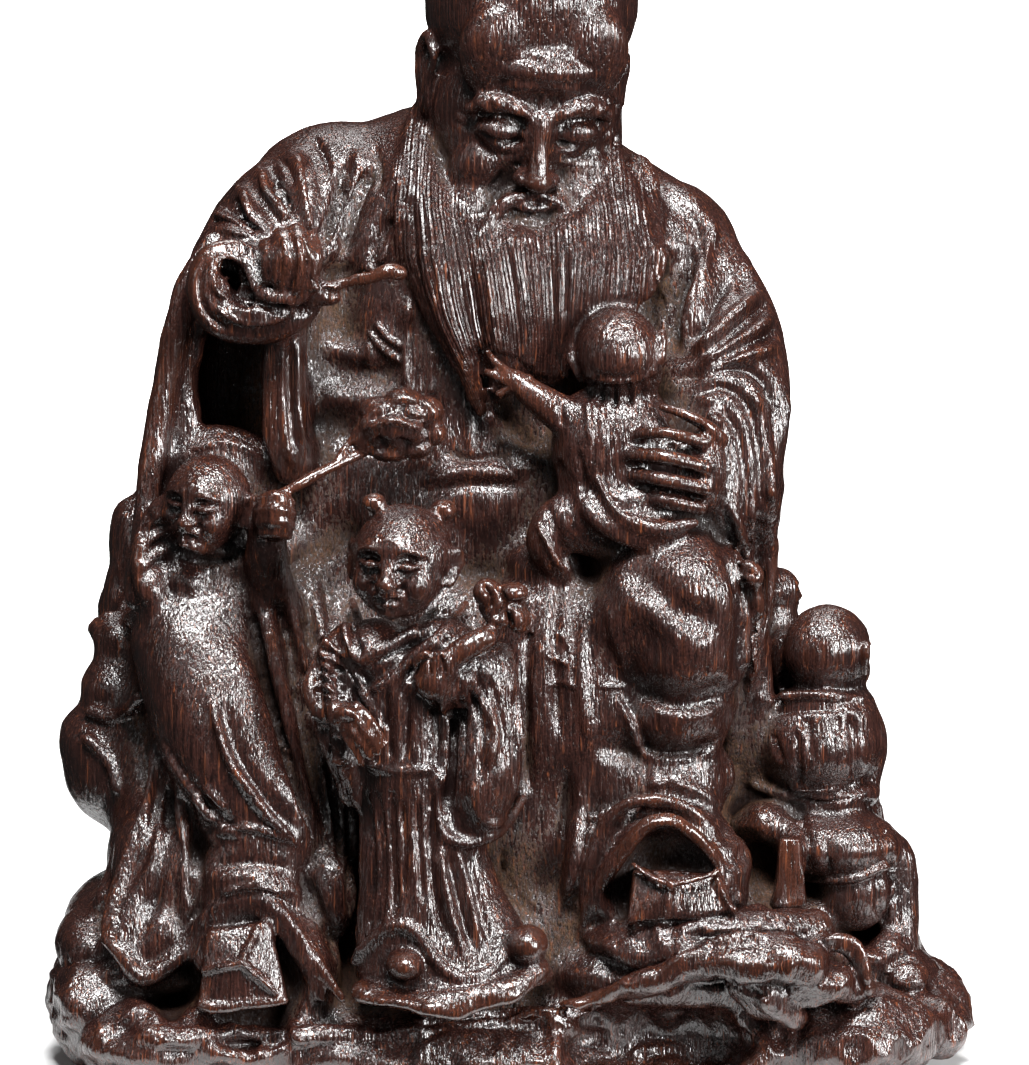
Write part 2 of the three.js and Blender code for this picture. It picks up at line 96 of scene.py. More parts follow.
def castLimbs():
    for flat, limbs in limbPile.items():
        data = bpy.data.curves.new("limbs", "CURVE")
        data.dimensions = "3D"
        data.bevel_depth = unit
        data.bevel_resolution = 3
        data.use_fill_caps = True
        for stations in limbs:
            line = smoothLine(stations)
            line[:, 3] = np.maximum(line[:, 3], thinnestLimb)
            first, last = line[0], line[-1]
            outA = first[:3] - line[1, :3]
            outB = last[:3] - line[-2, :3]
            outA /= np.linalg.norm(outA) + 1e-9
            outB /= np.linalg.norm(outB) + 1e-9
            head = [np.append(first[:3] + outA * first[3] * far, first[3] * wide) for far, wide in capShape]
            tail = [np.append(last[:3] + outB * last[3] * far, last[3] * wide) for far, wide in capShape[::-1]]
            line = np.vstack([head, line, tail])
            spline = data.splines.new("POLY")
            spline.points.add(len(line) - 1)
            for spot, (x, y, z, r) in zip(spline.points, line):
                spot.co = (x * unit, y * unit / flat, z * unit, 1)
                spot.radius = r
        tube = bpy.data.objects.new("limbs", data)
        bpy.context.collection.objects.link(tube)
        activate(tube)
        bpy.ops.object.convert(target="MESH")
        tube = bpy.context.object
        tube.scale = (1, flat, 1)
        bpy.ops.object.transform_apply(location=False, rotation=False, scale=True)
        workPile.append(tube)
    limbPile.clear()


def addBell(levels, sides=48):
    # rings [height, x, y, half width, half depth], extruded upwards one after another
    first = levels[0]
    bpy.ops.mesh.primitive_circle_add(
        vertices=sides, radius=1, fill_type="NGON", location=[unit * v for v in (first[1], first[2], first[0])]
    )
    bell = bpy.context.object
    bell.scale = (first[3] * unit, first[4] * unit, 1)
    bpy.ops.object.transform_apply(location=True, rotation=False, scale=True)
    bpy.ops.object.mode_set(mode="EDIT")
    for below, above in zip(levels, levels[1:]):
        step = [unit * (above[i] - below[i]) for i in (1, 2, 0)]
        bpy.ops.mesh.extrude_region_move(TRANSFORM_OT_translate={"value": step})
        middle = [unit * above[i] for i in (1, 2, 0)]
        bpy.ops.transform.resize(value=(above[3] / below[3], above[4] / below[4], 1), center_override=middle)
    bpy.ops.mesh.select_all(action="SELECT")
    bpy.ops.mesh.normals_make_consistent(inside=False)
    bpy.ops.object.mode_set(mode="OBJECT")
    workPile.append(bell)


skinStages = {  # size of the cells (hundredths of the height) and rounds of smoothing
    "body": (0.7, 12),
    "figures": (0.36, 5),
    "details": (0.23, 2),
}


def fuse(base, stage):
    # melts the base and all that is in the pile into one skin
    cell, rounds = skinStages[stage]
    castLimbs()
    clearSelection()
    pile = workPile + ([base] if base else [])
    for piece in pile:
        piece.select_set(True)
    bpy.context.view_layer.objects.active = pile[-1]
    bpy.ops.object.join()
    bpy.ops.object.transform_apply(location=True, rotation=True, scale=True)
    piece = bpy.context.object
    piece.name = piece.data.name = "carving"
    workPile.clear()
    remesh = piece.modifiers.new("melt", "REMESH")
    remesh.mode = "VOXEL"
    remesh.voxel_size = cell * unit
    remesh.adaptivity = 0
    bpy.ops.object.modifier_apply(modifier=remesh.name)
    smooth = piece.modifiers.new("soften", "SMOOTH")
    smooth.factor = 0.5
    smooth.iterations = rounds
    bpy.ops.object.modifier_apply(modifier=smooth.name)
    print("fused", stage, "vertices", len(piece.data.vertices))
    return piece


# Sculpting: strokes drawn on the front as it is seen, which push the skin out or in along its normals

seenTilt = 0.14  # a far thing is seen higher by this share of its depth
seenPlane = -20  # the depth at which the seen height is the true height
gridEdge = (60, 20)  # how far the grids below reach to the left of the middle and under the ground
emptyCell = 1e9
strokeRules = {
    "reach": 3.2,  # widths from its line at which a stroke ends
    "taper": (0.16, 0.7),  # share of the length in which each end fades, and how fast
    "facing": (0.05, 2.5),  # least share by which the skin faces the eye, and how fast the push grows with it
}
noiseTable = 64


def readCoords(piece):
    coords = np.empty(len(piece.data.vertices) * 3, dtype=np.float32)
    piece.data.vertices.foreach_get("co", coords)
    return coords.reshape(-1, 3) / unit


def readNormals(piece):
    normals = np.empty(len(piece.data.vertices) * 3, dtype=np.float32)
    piece.data.vertex_normals.foreach_get("vector", normals)
    return normals.reshape(-1, 3)


def writeCoords(piece, coords):
    piece.data.vertices.foreach_set("co", (coords * unit).astype(np.float32).ravel())
    piece.data.update()


def fromFront(coords):
    # seen across, seen height, and depth
    return coords[:, 0], coords[:, 2] + seenTilt * (coords[:, 1] - seenPlane), coords[:, 1]


def fromBack(coords):
    return -coords[:, 0], coords[:, 2], -coords[:, 1]


def fromSide(way):
    return lambda coords: (-coords[:, 1], coords[:, 2], way * coords[:, 0])


def inFrame(matrix):
    # the same three, seen by someone who faces a head or a hand that is turned
    back = np.array(matrix.inverted())

    def look(coords):
        local = coords @ back[:3, :3].T + back[:3, 3]
        return local[:, 0], local[:, 2], local[:, 1]

    return look


def cellOf(across, height, cell):
    return ((across + gridEdge[0]) / cell).astype(int), ((height + gridEdge[1]) / cell).astype(int)


def frontMost(across, height, depth, cell=0.7, slack=1.1):
    # true where nothing else stands in front
    i, j = cellOf(across, height, cell)
    grid = np.full((400, 400), emptyCell)
    np.minimum.at(grid, (i, j), depth)
    return depth < grid[i, j] + slack


def strokeField(across, height, points, reach):
    # nearest distance to the line, its side and how far along it is, for the vertices within reach
    line = smoothLine(points, 4)
    low, high = line.min(0) - reach, line.max(0) + reach
    near = (across > low[0]) & (across < high[0]) & (height > low[1]) & (height < high[1])
    index = np.nonzero(near)[0]
    p = np.stack([across[index], height[index]], 1)
    best = np.full(len(index), emptyCell)
    side = np.zeros(len(index))
    along = np.zeros(len(index))
    lengths = np.linalg.norm(np.diff(line, axis=0), axis=1)
    total = lengths.sum() + 1e-9
    start = 0.0
    for a, b, size in zip(line[:-1], line[1:], lengths):
        d = (b - a) / (size + 1e-9)
        q = p - a
        t = np.clip(q @ d, 0, size)
        gap = np.linalg.norm(q - t[:, None] * d, axis=1)
        closer = gap < best
        best[closer] = gap[closer]
        side[closer] = np.sign(d[0] * q[closer, 1] - d[1] * q[closer, 0])
        along[closer] = (start + t[closer]) / total
        start += size
    return index, best, side, along


def sculpt(piece, strokes, look=fromFront, within=None):
    # a stroke is (kind, width, height, points); a cloth edge stands up on the left of its line
    coords = readCoords(piece)
    normals = readNormals(piece)
    across, height, depth = look(coords)
    step = 1e-3
    facing = -(look(coords + normals * step)[2] - depth) / step
    leastFacing, growth = strokeRules["facing"]
    shown = frontMost(across, height, depth) & (facing > leastFacing)
    if within is not None:
        shown &= within(coords)
    weight = np.clip(facing * growth, 0, 1) * shown
    raised, pressed = np.zeros(len(coords)), np.zeros(len(coords))
    for kind, width, tall, points in strokes:
        index, gap, side, along = strokeField(across, height, points, strokeRules["reach"] * width)
        fade, power = strokeRules["taper"]
        ends = np.clip(np.minimum(along, 1 - along) / fade, 0, 1) ** power
        if kind == "ridge":
            form = np.exp(-((gap / width) ** 2))
        elif kind == "groove":
            form = -np.exp(-((gap / width) ** 2))
        elif kind == "fold":  # a ridge with a sharper valley on its right
            signed = gap * side
            form = np.exp(-(((signed - 0.5 * width) / width) ** 2))
            form = form - np.exp(-(((signed + 0.6 * width) / (0.6 * width)) ** 2))
        else:  # an edge of cloth
            signed = gap * side
            form = np.where(signed > 0, np.exp(-signed / width), -0.6 * np.exp(-((signed / (0.7 * width)) ** 2)))
        push = tall * form * ends * weight[index]
        raised[index] = np.maximum(raised[index], push)
        pressed[index] = np.minimum(pressed[index], push)
    writeCoords(piece, coords + normals * (raised + pressed)[:, None])


def frontDepth(piece, cell=0.5):
    # how far back the front skin lies, as a grid over the seen across and height
    across, height, depth = fromFront(readCoords(piece))
    grid = np.full((240, 280), emptyCell)
    np.minimum.at(grid, cellOf(across, height, cell), depth)
    for _ in range(3):  # fill the gaps between vertices
        gap = grid == emptyCell
        grown = grid.copy()
        for di, dj in ((1, 0), (-1, 0), (0, 1), (0, -1)):
            grown = np.minimum(grown, np.roll(grid, (di, dj), (0, 1)))
        grid[gap] = grown[gap]
    return grid, cell


def addDraped(front, lines, sink=-0.1):
    # tubes whose middle lies just under the skin, from stations of (across, seen height, radius)
    grid, cell = front
    for stations in lines:
        line = smoothLine(stations, 5)
        depth = grid[cellOf(line[:, 0], line[:, 1], cell)]
        known = depth < emptyCell
        where = np.arange(len(line))
        depth = np.interp(where, where[known], depth[known])
        padded = np.pad(depth, 3, mode="edge")
        depth = np.mean([padded[k : k + len(depth)] for k in range(7)], axis=0) + sink * line[:, 2]
        z = line[:, 1] - seenTilt * (depth - seenPlane)
        addLimb([tuple(v) for v in np.stack([line[:, 0], depth, z, line[:, 2]], 1)[::2]])


def scoop(piece, hollows):
    # presses the skin back to the far side of each hollow, a ball of (centre, halves)
    coords = readCoords(piece)
    for centre, halves in hollows:
        q = (coords - centre) / halves
        wide = q[:, 0] ** 2 + q[:, 2] ** 2
        inside = (wide < 1) & (q[:, 1] < np.sqrt(np.clip(1 - wide, 0, 1))) & (q[:, 1] > -1.6)
        floor = np.sqrt(np.clip(1 - wide[inside], 0, 1)) ** 0.6
        coords[inside, 1] = centre[1] + halves[1] * floor
    writeCoords(piece, coords)


def latticeNoise(coords, size, seed):
    # smooth noise between -1 and 1 with bumps of that size
    table = np.random.default_rng(seed).uniform(-1, 1, (noiseTable, noiseTable, noiseTable))
    q = coords / size + noiseTable / 2
    i = np.floor(q).astype(int)
    f = q - i
    f = f * f * (3 - 2 * f)
    total = 0
    for corner in range(8):
        d = np.array([corner & 1, corner >> 1 & 1, corner >> 2 & 1])
        share = np.prod(np.where(d, f, 1 - f), axis=1)
        at = (i + d) % noiseTable
        total = total + share * table[at[:, 0], at[:, 1], at[:, 2]]
    return total


def insideOf(across, height, outline, soft):
    # 1 well inside a seen outline, 0 outside, with a soft edge
    ring = np.array(outline + outline[:1], dtype=float)
    crossings = np.zeros(len(across), dtype=bool)
    gap = np.full(len(across), emptyCell)
    for (ax, az), (bx, bz) in zip(ring[:-1], ring[1:]):
        over = (az > height) != (bz > height)
        crossings ^= over & (across < (bx - ax) * (height - az) / (bz - az + 1e-12) + ax)
        dx, dz = bx - ax, bz - az
        t = np.clip(((across - ax) * dx + (height - az) * dz) / (dx * dx + dz * dz + 1e-12), 0, 1)
        gap = np.minimum(gap, np.hypot(across - ax - t * dx, height - az - t * dz))
    return np.where(crossings, np.clip(0.5 + gap / soft, 0, 1), np.clip(0.5 - gap / soft, 0, 1))


# The old man's body, robe and sleeves

bodyMasses = {
    "bell": [
        (-2, -2, 2, 31, 22), (8, -2, 3, 30, 22), (20, -3, 4.4, 28, 21), (34, -5, 5.4, 26.6, 19.6),
        (46, -4.8, 5.4, 27, 18), (56, -3.6, 4.4, 26.6, 16), (64, -3.2, 3.4, 24.6, 14.4), (70, -3.2, 2.8, 21.4, 12.8),
        (74, -3.2, 2.4, 18, 11.4), (77, -3.4, 2, 13.4, 10), (79.4, -3, 1.6, 9.6, 8), (81, -1, 1, 7.2, 6.6),
    ],
    "lumps": [
        ((-1.5, -6.6, 49), (11, 6.8, 8)), ((-2, -6.4, 26), (18, 12.6, 20)), ((0, -5, 12), (20, 14, 10)),
        ((-28, -5, 22), (6.3, 9, 17), (0, -6, 0)), ((-14.4, 0.4, 72.2), (8.8, 7, 7.6)),
        ((12.4, -0.4, 68.4), (6.9, 7, 6.7)), ((14.7, -16.2, 41.1), (5.6, 6.4, 6)),
        ((10.7, -14.8, 40.9), (4.4, 6.4, 6.8), (0, 22, 0)), ((14.5, -15.8, 36.7), (5.4, 6.8, 5)),
        ((13.7, -15, 31.3), (5, 6.2, 3.8)), ((12.5, -14, 25.8), (6, 5.6, 5)), ((12.5, -17.6, 18), (7.6, 5.4, 6.6)),
        ((-21, -19.6, 10.4), (6.8, 5.4, 6)), ((-22, -17, 17.9), (6, 6, 5)), ((-29.5, -10, 16.9), (5, 8, 10)),
        ((2.6, -13, 32.4), (6, 6.4, 14)), ((7, -13.2, 30.7), (5, 6.4, 13)), ((6.9, -14.6, 19.2), (4.6, 6, 6)),
        ((-16, -11.8, 30.9), (3.8, 5, 10.4)), ((-20.5, -13.4, 33.2), (2.6, 3.4, 8)),
        ((-26.5, -13.6, 21.9), (3.6, 3.6, 4)), ((-27.1, -15, 22.3), (2.8, 3, 3.6)),
        ((-30.3, -15.8, 17.7), (3.8, 2.8, 6)),
    ],
    "limbs": [
        [(-10, 3, 42, 8), (-19, -6, 41.6, 7), (-27.3, -14, 37.5, 5)],
        [(-27.5, -14.4, 37.1, 4.9), (-26.1, -16, 32.8, 5.1), (-24, -17.2, 27.5, 5), (-21.3, -18, 23.1, 4.2),
         (-20.3, -18, 18.1, 4)],
        [(3, 3, 42, 8), (9, -7, 43, 7), (13.4, -13.6, 42, 6)],
        [(-13.6, 0.6, 71.8, 7), (-18.9, -3, 70.8, 6.5), (-22.2, -8, 67, 5.8)],
        [(-22.2, -8, 66.4, 5.2), (-21.2, -12.6, 66.2, 4.4)],
        [(10.6, 0, 69, 6), (15.7, -3, 64.6, 6), (17.4, -7.6, 58, 6.3), (17.2, -11, 50, 5.5)],
        [(19, -7.6, 50, 4.3), (18.7, -9, 42, 3.2), (19.4, -9, 35, 2.8), (19.8, -8, 27, 2.4), (20, -5, 20, 2)],
        [(-25.4, -7.6, 66, 3), (-27.4, -8, 58, 3), (-28.9, -8.4, 49, 3), (-30.6, -9, 41, 2.6)],
        [(-19, -11.4, 63.8, 2), (-19, -11.6, 57.2, 2.1), (-18.5, -12, 51.8, 2)],
    ],
}

rockMasses = {
    "lumps": [
        ((-8, 0, 3), (29, 26.6, 7)), ((10, 0, 3), (26.4, 26.4, 7)), ((0, 2, 5), (34, 23, 6)),
        ((-33.8, -2, 24.8), (4.7, 8, 5.2)), ((-35.1, -3, 27), (3.9, 6, 3.6)), ((-32.8, 0, 27.2), (4, 8, 6)),
        ((-33.8, -4, 32.1), (3.3, 4, 2.3)), ((-34.2, -3, 36), (1.9, 3.6, 2.2)), ((-33.4, 3, 36.6), (1.4, 4, 5)),
        ((-32.9, 4, 43), (1.2, 3.4, 4)), ((-33, -4, 11.2), (5.5, 14, 4.7)), ((-34.6, -6, 5), (5, 14, 5.8)),
        ((-30, -19, 4), (6.6, 7, 4.2)), ((34.2, -4, 4.4), (5, 14, 3.7)), ((30, -2, 9.2), (5, 11, 3)),
        ((29, -18, 4), (7, 7, 4.6)), ((-19, 17, 15), (16, 10.6, 13), (0, 0, 15)),
        ((17, 17, 13), (17, 10.6, 12), (0, 0, -15)), ((0, 19, 17), (12, 8.6, 14)), ((24, 5, 17), (8, 12, 12)),
        ((8, 24, 8), (9, 4.6, 8)), ((-12, 24, 6), (8, 4.6, 7)), ((25, -6, 11), (7.6, 7, 4.6)),
        ((14, -16, 9.6), (12, 8, 4)), ((-23, -18, 5), (10, 8, 3.4)),
    ],
}

# broad valleys between legs, sleeves and lap
bodyStrokes = [
    ("groove", 1.2, 0.5, [(-18.1, 42.5), (-16.8, 35), (-15.3, 27.5), (-14, 20)]),
    ("groove", 0.9, 0.5, [(5.1, 45), (7.5, 42.5), (8.4, 38.3), (10, 34.2)]),
    ("groove", 0.9, 1.6, [(16.5, 48.8), (19, 45), (19.9, 40.7), (19.5, 35), (18.5, 29.6)]),
    ("groove", 1, 0.8, [(10.2, 34.5), (11.4, 33.3), (13.5, 32.8), (16.2, 33.2), (18.4, 34.7)]),
    ("groove", 1.1, 1, [(9.5, 44.8), (11.5, 42.5), (13.9, 40.5), (17, 39.8)]),
    ("ridge", 1.2, 0.7, [(10.2, 42.5), (12.4, 40), (14.7, 38.2), (16.9, 37.7)]),
    ("groove", 0.9, 0.9, [(6.4, 29.7), (10.5, 28.5), (14.7, 28.2), (17.4, 29.5)]),
    ("groove", 1.3, 1.2, [(-12.8, 48.3), (-17.8, 45), (-21, 42.9)]),
    ("groove", 1.6, 1.5, [(-13.6, 70.4), (-14.5, 65.8), (-14, 62.5)]),
    ("groove", 1.6, 1.2, [(12.6, 71.2), (13.2, 66.7), (14.7, 61.7)]),
    ("groove", 1.2, 1, [(-33.1, 38.3), (-32.5, 33.3), (-30.5, 27), (-27.6, 22), (-25.1, 19)]),
    ("groove", 1.6, 1, [(20.5, 33.3), (19.3, 26.7), (20.5, 21.7)]),
    ("groove", 1.4, 1, [(-16.3, 62.3), (-13.5, 61), (-9.5, 61.5)]),
    ("groove", 1.4, 1, [(-16.3, 57.5), (-13.6, 55.8), (-7.8, 54.6)]),
]


backStrokes = [
    ("ridge", 1.4, 0.9, [(9, 75), (16, 66), (20, 54), (22.4, 40), (22.6, 28)]),
    ("groove", 1.1, 1, [(6, 74), (12, 66), (16.4, 54), (18.6, 40), (19, 28)]),
    ("ridge", 1.2, 0.6, [(9, 62), (12, 50), (14.4, 38), (15, 27)]),
    ("groove", 1, 0.7, [(5, 62), (8, 50), (10.6, 38), (11.6, 27)]),
    ("ridge", 1.1, 0.5, [(2, 56), (4, 44), (6.4, 34), (7.4, 26)]),
    ("groove", 1, 0.6, [(-1, 58), (0, 46), (2, 34), (3, 26)]),
    ("ridge", 1.2, 0.5, [(-4, 54), (-4, 42), (-3, 32), (-2, 25)]),
    ("groove", 1, 0.6, [(-6, 62), (-8, 50), (-8.4, 38), (-8, 27)]),
    ("ridge", 1.3, 0.7, [(-8, 64), (-12, 52), (-13, 40), (-13, 27)]),
    ("groove", 1.1, 1, [(-8, 74), (-14, 64), (-16.6, 52), (-17.6, 40), (-17.6, 28)]),
    ("ridge", 1.4, 0.8, [(-11, 75), (-18, 65), (-21, 54), (-22, 40), (-22, 28)]),
    ("ridge", 0.8, 0.6, [(-9, 77), (-4, 79.6), (1, 80), (6, 78.6), (11, 75)]),
    ("groove", 0.8, 0.5, [(-9, 75.4), (-4, 78), (1, 78.4), (6, 77), (11, 73.4)]),
]


sideStrokes = [
    ("ridge", 1.2, 0.7, [(0, 70), (-2, 58), (-4, 44), (-5, 30)]),
    ("groove", 1, 0.8, [(3, 68), (2, 56), (0, 44), (-1, 32)]),
    ("groove", 0.9, 0.8, [(-4, 66), (-7, 54), (-9, 42), (-10, 30)]),
    ("ridge", 1.1, 0.6, [(-7, 62), (-10, 50), (-12, 38), (-12.6, 28)]),
]


def addMasses(masses):
    if "bell" in masses:
        addBell(masses["bell"])
    for lump in masses.get("lumps", []):
        addLump(*lump)
    for limb in masses.get("limbs", []):
        addLimb(limb)
    for flat, limbs in masses.get("flatLimbs", {}).items():
        for limb in limbs:
            addLimb(limb, flat)


addMasses(bodyMasses)
addMasses(rockMasses)
carving = fuse(None, "body")
sculpt(carving, bodyStrokes)
sculpt(carving, backStrokes, fromBack)
sculpt(carving, sideStrokes, fromSide(1))
sculpt(carving, sideStrokes, fromSide(-1))
scoop(carving, [
    ((-23, -9.4, 58), (3.5, 4.4, 6.8)),
    ((12, -24, 4.4), (8, 6, 3.6)),
    ((12.9, -23.6, 17.2), (5.8, 5.4, 5.6)),
    ((-22, -25.6, 10), (5, 5.6, 6)),
    ((-28.8, -19.6, 9.3), (2.6, 4, 2.6)),
    ((29.4, -9, 12.6), (2, 4, 2.4)),
    ((-13.5, -12, 69.2), (1.3, 2, 1.4)),
])


# Second stage: hems in the round, beard, heads and bodies of the boys

clothMasses = {
    "lumps": [
        ((-29.5, -17.8, 16.8), (2.8, 2, 5.6)), ((-30.1, -19.4, 12.8), (3.2, 1.5, 2.8)),
        ((-31.6, -17.8, 15.9), (2.2, 1.8, 4.4)), ((-26.9, -17, 21.9), (1.6, 2, 4.4)),
        ((-14.9, -15.8, 20.2), (2.4, 3, 6)), ((-15.3, -19, 16.5), (2.2, 2.4, 4)), ((-30.3, -18, 9.6), (5, 2.6, 1.9)),
        ((28.9, -9.5, 15.2), (3, 3, 3.6)),
    ],
    "limbs": [
        # rolled cuff
        [(-20.8, -13.6, 69.5, 0.8), (-23.1, -14.4, 70.5, 0.9), (-25.2, -14.8, 69.9, 1.1), (-26, -15, 67.9, 1.4),
         (-25.3, -15.2, 65.4, 1.6), (-23.3, -15.4, 64, 1.5), (-20.8, -15.6, 63.8, 1.3), (-18, -15.6, 64.6, 1),
         (-16.6, -15.4, 65.5, 0.7)],
        [(-21, -14.8, 68.7, 0.45), (-22.8, -15.4, 69.4, 0.5), (-24.3, -15.6, 69.6, 0.45), (-25.1, -15.8, 68.4, 0.45),
         (-25, -16, 66.8, 0.5)],
        [(-25, -16, 66.3, 0.5), (-23.5, -16.6, 65.5, 0.65), (-21.3, -16.8, 65.3, 0.65), (-18.8, -16.6, 65.7, 0.6)],
        # walls of the hanging sleeve
        [(-20.1, -12.6, 63, 0.9), (-20.3, -12.8, 59, 0.9), (-20.1, -13, 54, 0.9), (-19.1, -13, 50.9, 0.7)],
        [(-25.5, -10.6, 71, 0.6), (-27.4, -11, 67.2, 1), (-28.2, -11, 63.7, 1.2), (-28.9, -11, 60.4, 1.2),
         (-29.5, -11.2, 57.1, 1.2), (-30.2, -11.8, 53, 1.2), (-30.8, -12.6, 49, 1.1), (-31.2, -13.4, 45.3, 1.1),
         (-31.7, -15, 41, 1)],
        # trailing robe
        [(-30.1, -14.6, 28.6, 0.5), (-30.5, -16, 24.4, 0.7), (-31.3, -17.2, 21.3, 0.9), (-32.6, -18.4, 18.1, 1),
         (-33.6, -19.6, 14.5, 1), (-34, -20.2, 12.7, 0.7)],
        [(-29.2, -15.2, 26.7, 0.5), (-29.7, -16.8, 22.1, 0.7), (-30.6, -18, 19.1, 0.8), (-31.9, -19, 16.1, 0.8),
         (-33, -20, 13.3, 0.8)],
        [(-28.2, -15.6, 25.2, 0.5), (-27.8, -17, 21.8, 0.8), (-27.8, -18.2, 18.5, 0.9), (-27.2, -19.4, 15.1, 0.8)],
        [(-34, -20.4, 12.9, 0.6), (-32.7, -20.8, 11.6, 0.8), (-31.3, -21.2, 9.8, 0.8), (-29.6, -21.2, 10.3, 0.8),
         (-27, -20.6, 12.3, 0.7), (-26.1, -20.2, 14, 0.5)],
        # folds that fall beside his right leg
        [(-21.5, -15.2, 41, 1.1), (-19.8, -16.2, 35.3, 1.3), (-18.5, -17, 29.6, 1.3), (-17, -17.8, 23.9, 1.2),
         (-15.8, -18.4, 19.8, 1)],
        [(-19.1, -14.6, 41.2, 1.2), (-17.5, -15.2, 35.2, 1.3), (-16.1, -16, 29.4, 1.3), (-15, -16.8, 23.7, 1.2),
         (-14, -17.4, 19.6, 1)],
        # crumpled sleeve under the boy
        [(-29.5, -15, 48.6, 1.1), (-30.6, -15.4, 46.4, 1.2), (-30.8, -16, 43.6, 1.3), (-30.3, -16.4, 41.5, 1.2)],
        # hems over his shoes
        [(-27.1, -19.6, 11.4, 0.5), (-26.4, -21, 14.3, 0.5), (-24.4, -22, 16.1, 0.55), (-21.4, -22.6, 16.7, 0.55),
         (-19.3, -22.8, 15.6, 0.55), (-17.4, -23, 13.1, 0.55), (-15.5, -23.4, 10.3, 0.55), (-14.2, -24, 8.4, 0.5)],
        [(-25.8, -20.4, 12.1, 0.4), (-25.3, -21.4, 14, 0.45), (-23.8, -22, 15.2, 0.45), (-21.6, -22.4, 15.6, 0.45),
         (-20, -22.6, 14.5, 0.45), (-18.5, -22.8, 12.5, 0.45), (-16.8, -23, 9.8, 0.45), (-15.8, -23.4, 8.3, 0.4)],
        [(5.8, -19, 13.2, 0.5), (6.4, -20, 16, 0.6), (8, -21, 18.6, 0.65), (9.6, -22, 21.3, 0.7),
         (11.2, -22.4, 23.1, 0.7), (13, -22.6, 23.5, 0.7), (14.7, -22.4, 22.5, 0.7), (16.3, -22, 20.8, 0.65),
         (17.7, -21.2, 18.5, 0.6), (18.9, -20.6, 16.3, 0.5)],
        [(5, -18.6, 18.1, 0.5), (6.7, -19.6, 21.6, 0.6), (8.9, -20.6, 24.1, 0.6), (10.9, -21, 24.8, 0.65),
         (13, -21, 24.7, 0.65), (15, -20.6, 23.8, 0.6), (16.9, -20, 21.8, 0.55), (19, -19, 19, 0.5)],
        # child's coat and the sleeve that wraps him
        [(7.2, -18.2, 51.6, 0.5), (8.4, -19.2, 49.6, 0.6), (10, -19.6, 48.1, 0.7), (12.4, -19.6, 47.5, 0.7),
         (15, -18.8, 48, 0.6)],
        [(5.6, -17.2, 50.8, 0.6), (6.5, -18.4, 48.8, 0.8), (8.4, -19, 47.2, 0.9), (11, -19, 46.3, 0.8),
         (14.7, -18, 46.4, 0.6)],
    ],
}

drapedHems = [
    # above the knee
    [(-32.5, 40.2, 0.7), (-31.5, 39.8, 0.75), (-28.8, 41.3, 0.65), (-25, 42.5, 0.6), (-22, 43.6, 0.5)],
    # trailing robe
    [(-30.1, 29.6, 0.5), (-30.6, 25.8, 0.65), (-31.5, 22.2, 0.7), (-33.5, 18.7, 0.8), (-35, 15, 0.8),
     (-36.4, 12.1, 0.7), (-35.9, 10.7, 0.7), (-33.9, 12.7, 0.5)],
    [(-29.1, 27.7, 0.5), (-29.8, 23, 0.65), (-30.9, 19.9, 0.7), (-32.2, 16.9, 0.7), (-33, 14.3, 0.7),
     (-33.7, 12.8, 0.5)],
    [(-28.1, 26.7, 0.4), (-27.7, 22.2, 0.6), (-27.6, 18.3, 0.7), (-27.3, 14.6, 0.6)],
    [(-33.9, 12.7, 0.6), (-32.6, 11.2, 0.8), (-31.1, 9.5, 0.8), (-29.3, 10.2, 0.8), (-26.8, 12.3, 0.6)],
    # sleeve arcs round the elbow
    [(14.9, 59.3, 0.5), (16.8, 60.4, 0.65), (18.7, 60.2, 0.7), (20.5, 58.2, 0.7), (21.2, 54.6, 0.7), (21.5, 50, 0.6)],
    [(15.9, 58.4, 0.45), (17.6, 58.8, 0.6), (19.1, 57.2, 0.65), (20, 54.6, 0.65), (20.3, 50.8, 0.5)],
    [(16.6, 57.2, 0.4), (18, 55.8, 0.5), (18.7, 53.8, 0.55), (19, 51, 0.5), (18.7, 49, 0.4)],
    # lapels
    [(-9, 66.7, 0.3), (-9.2, 62.9, 0.35), (-9.3, 59, 0.3)],
    [(-6.5, 64.2, 0.3), (-6.1, 60, 0.35), (-5.6, 54.6, 0.3)],
]

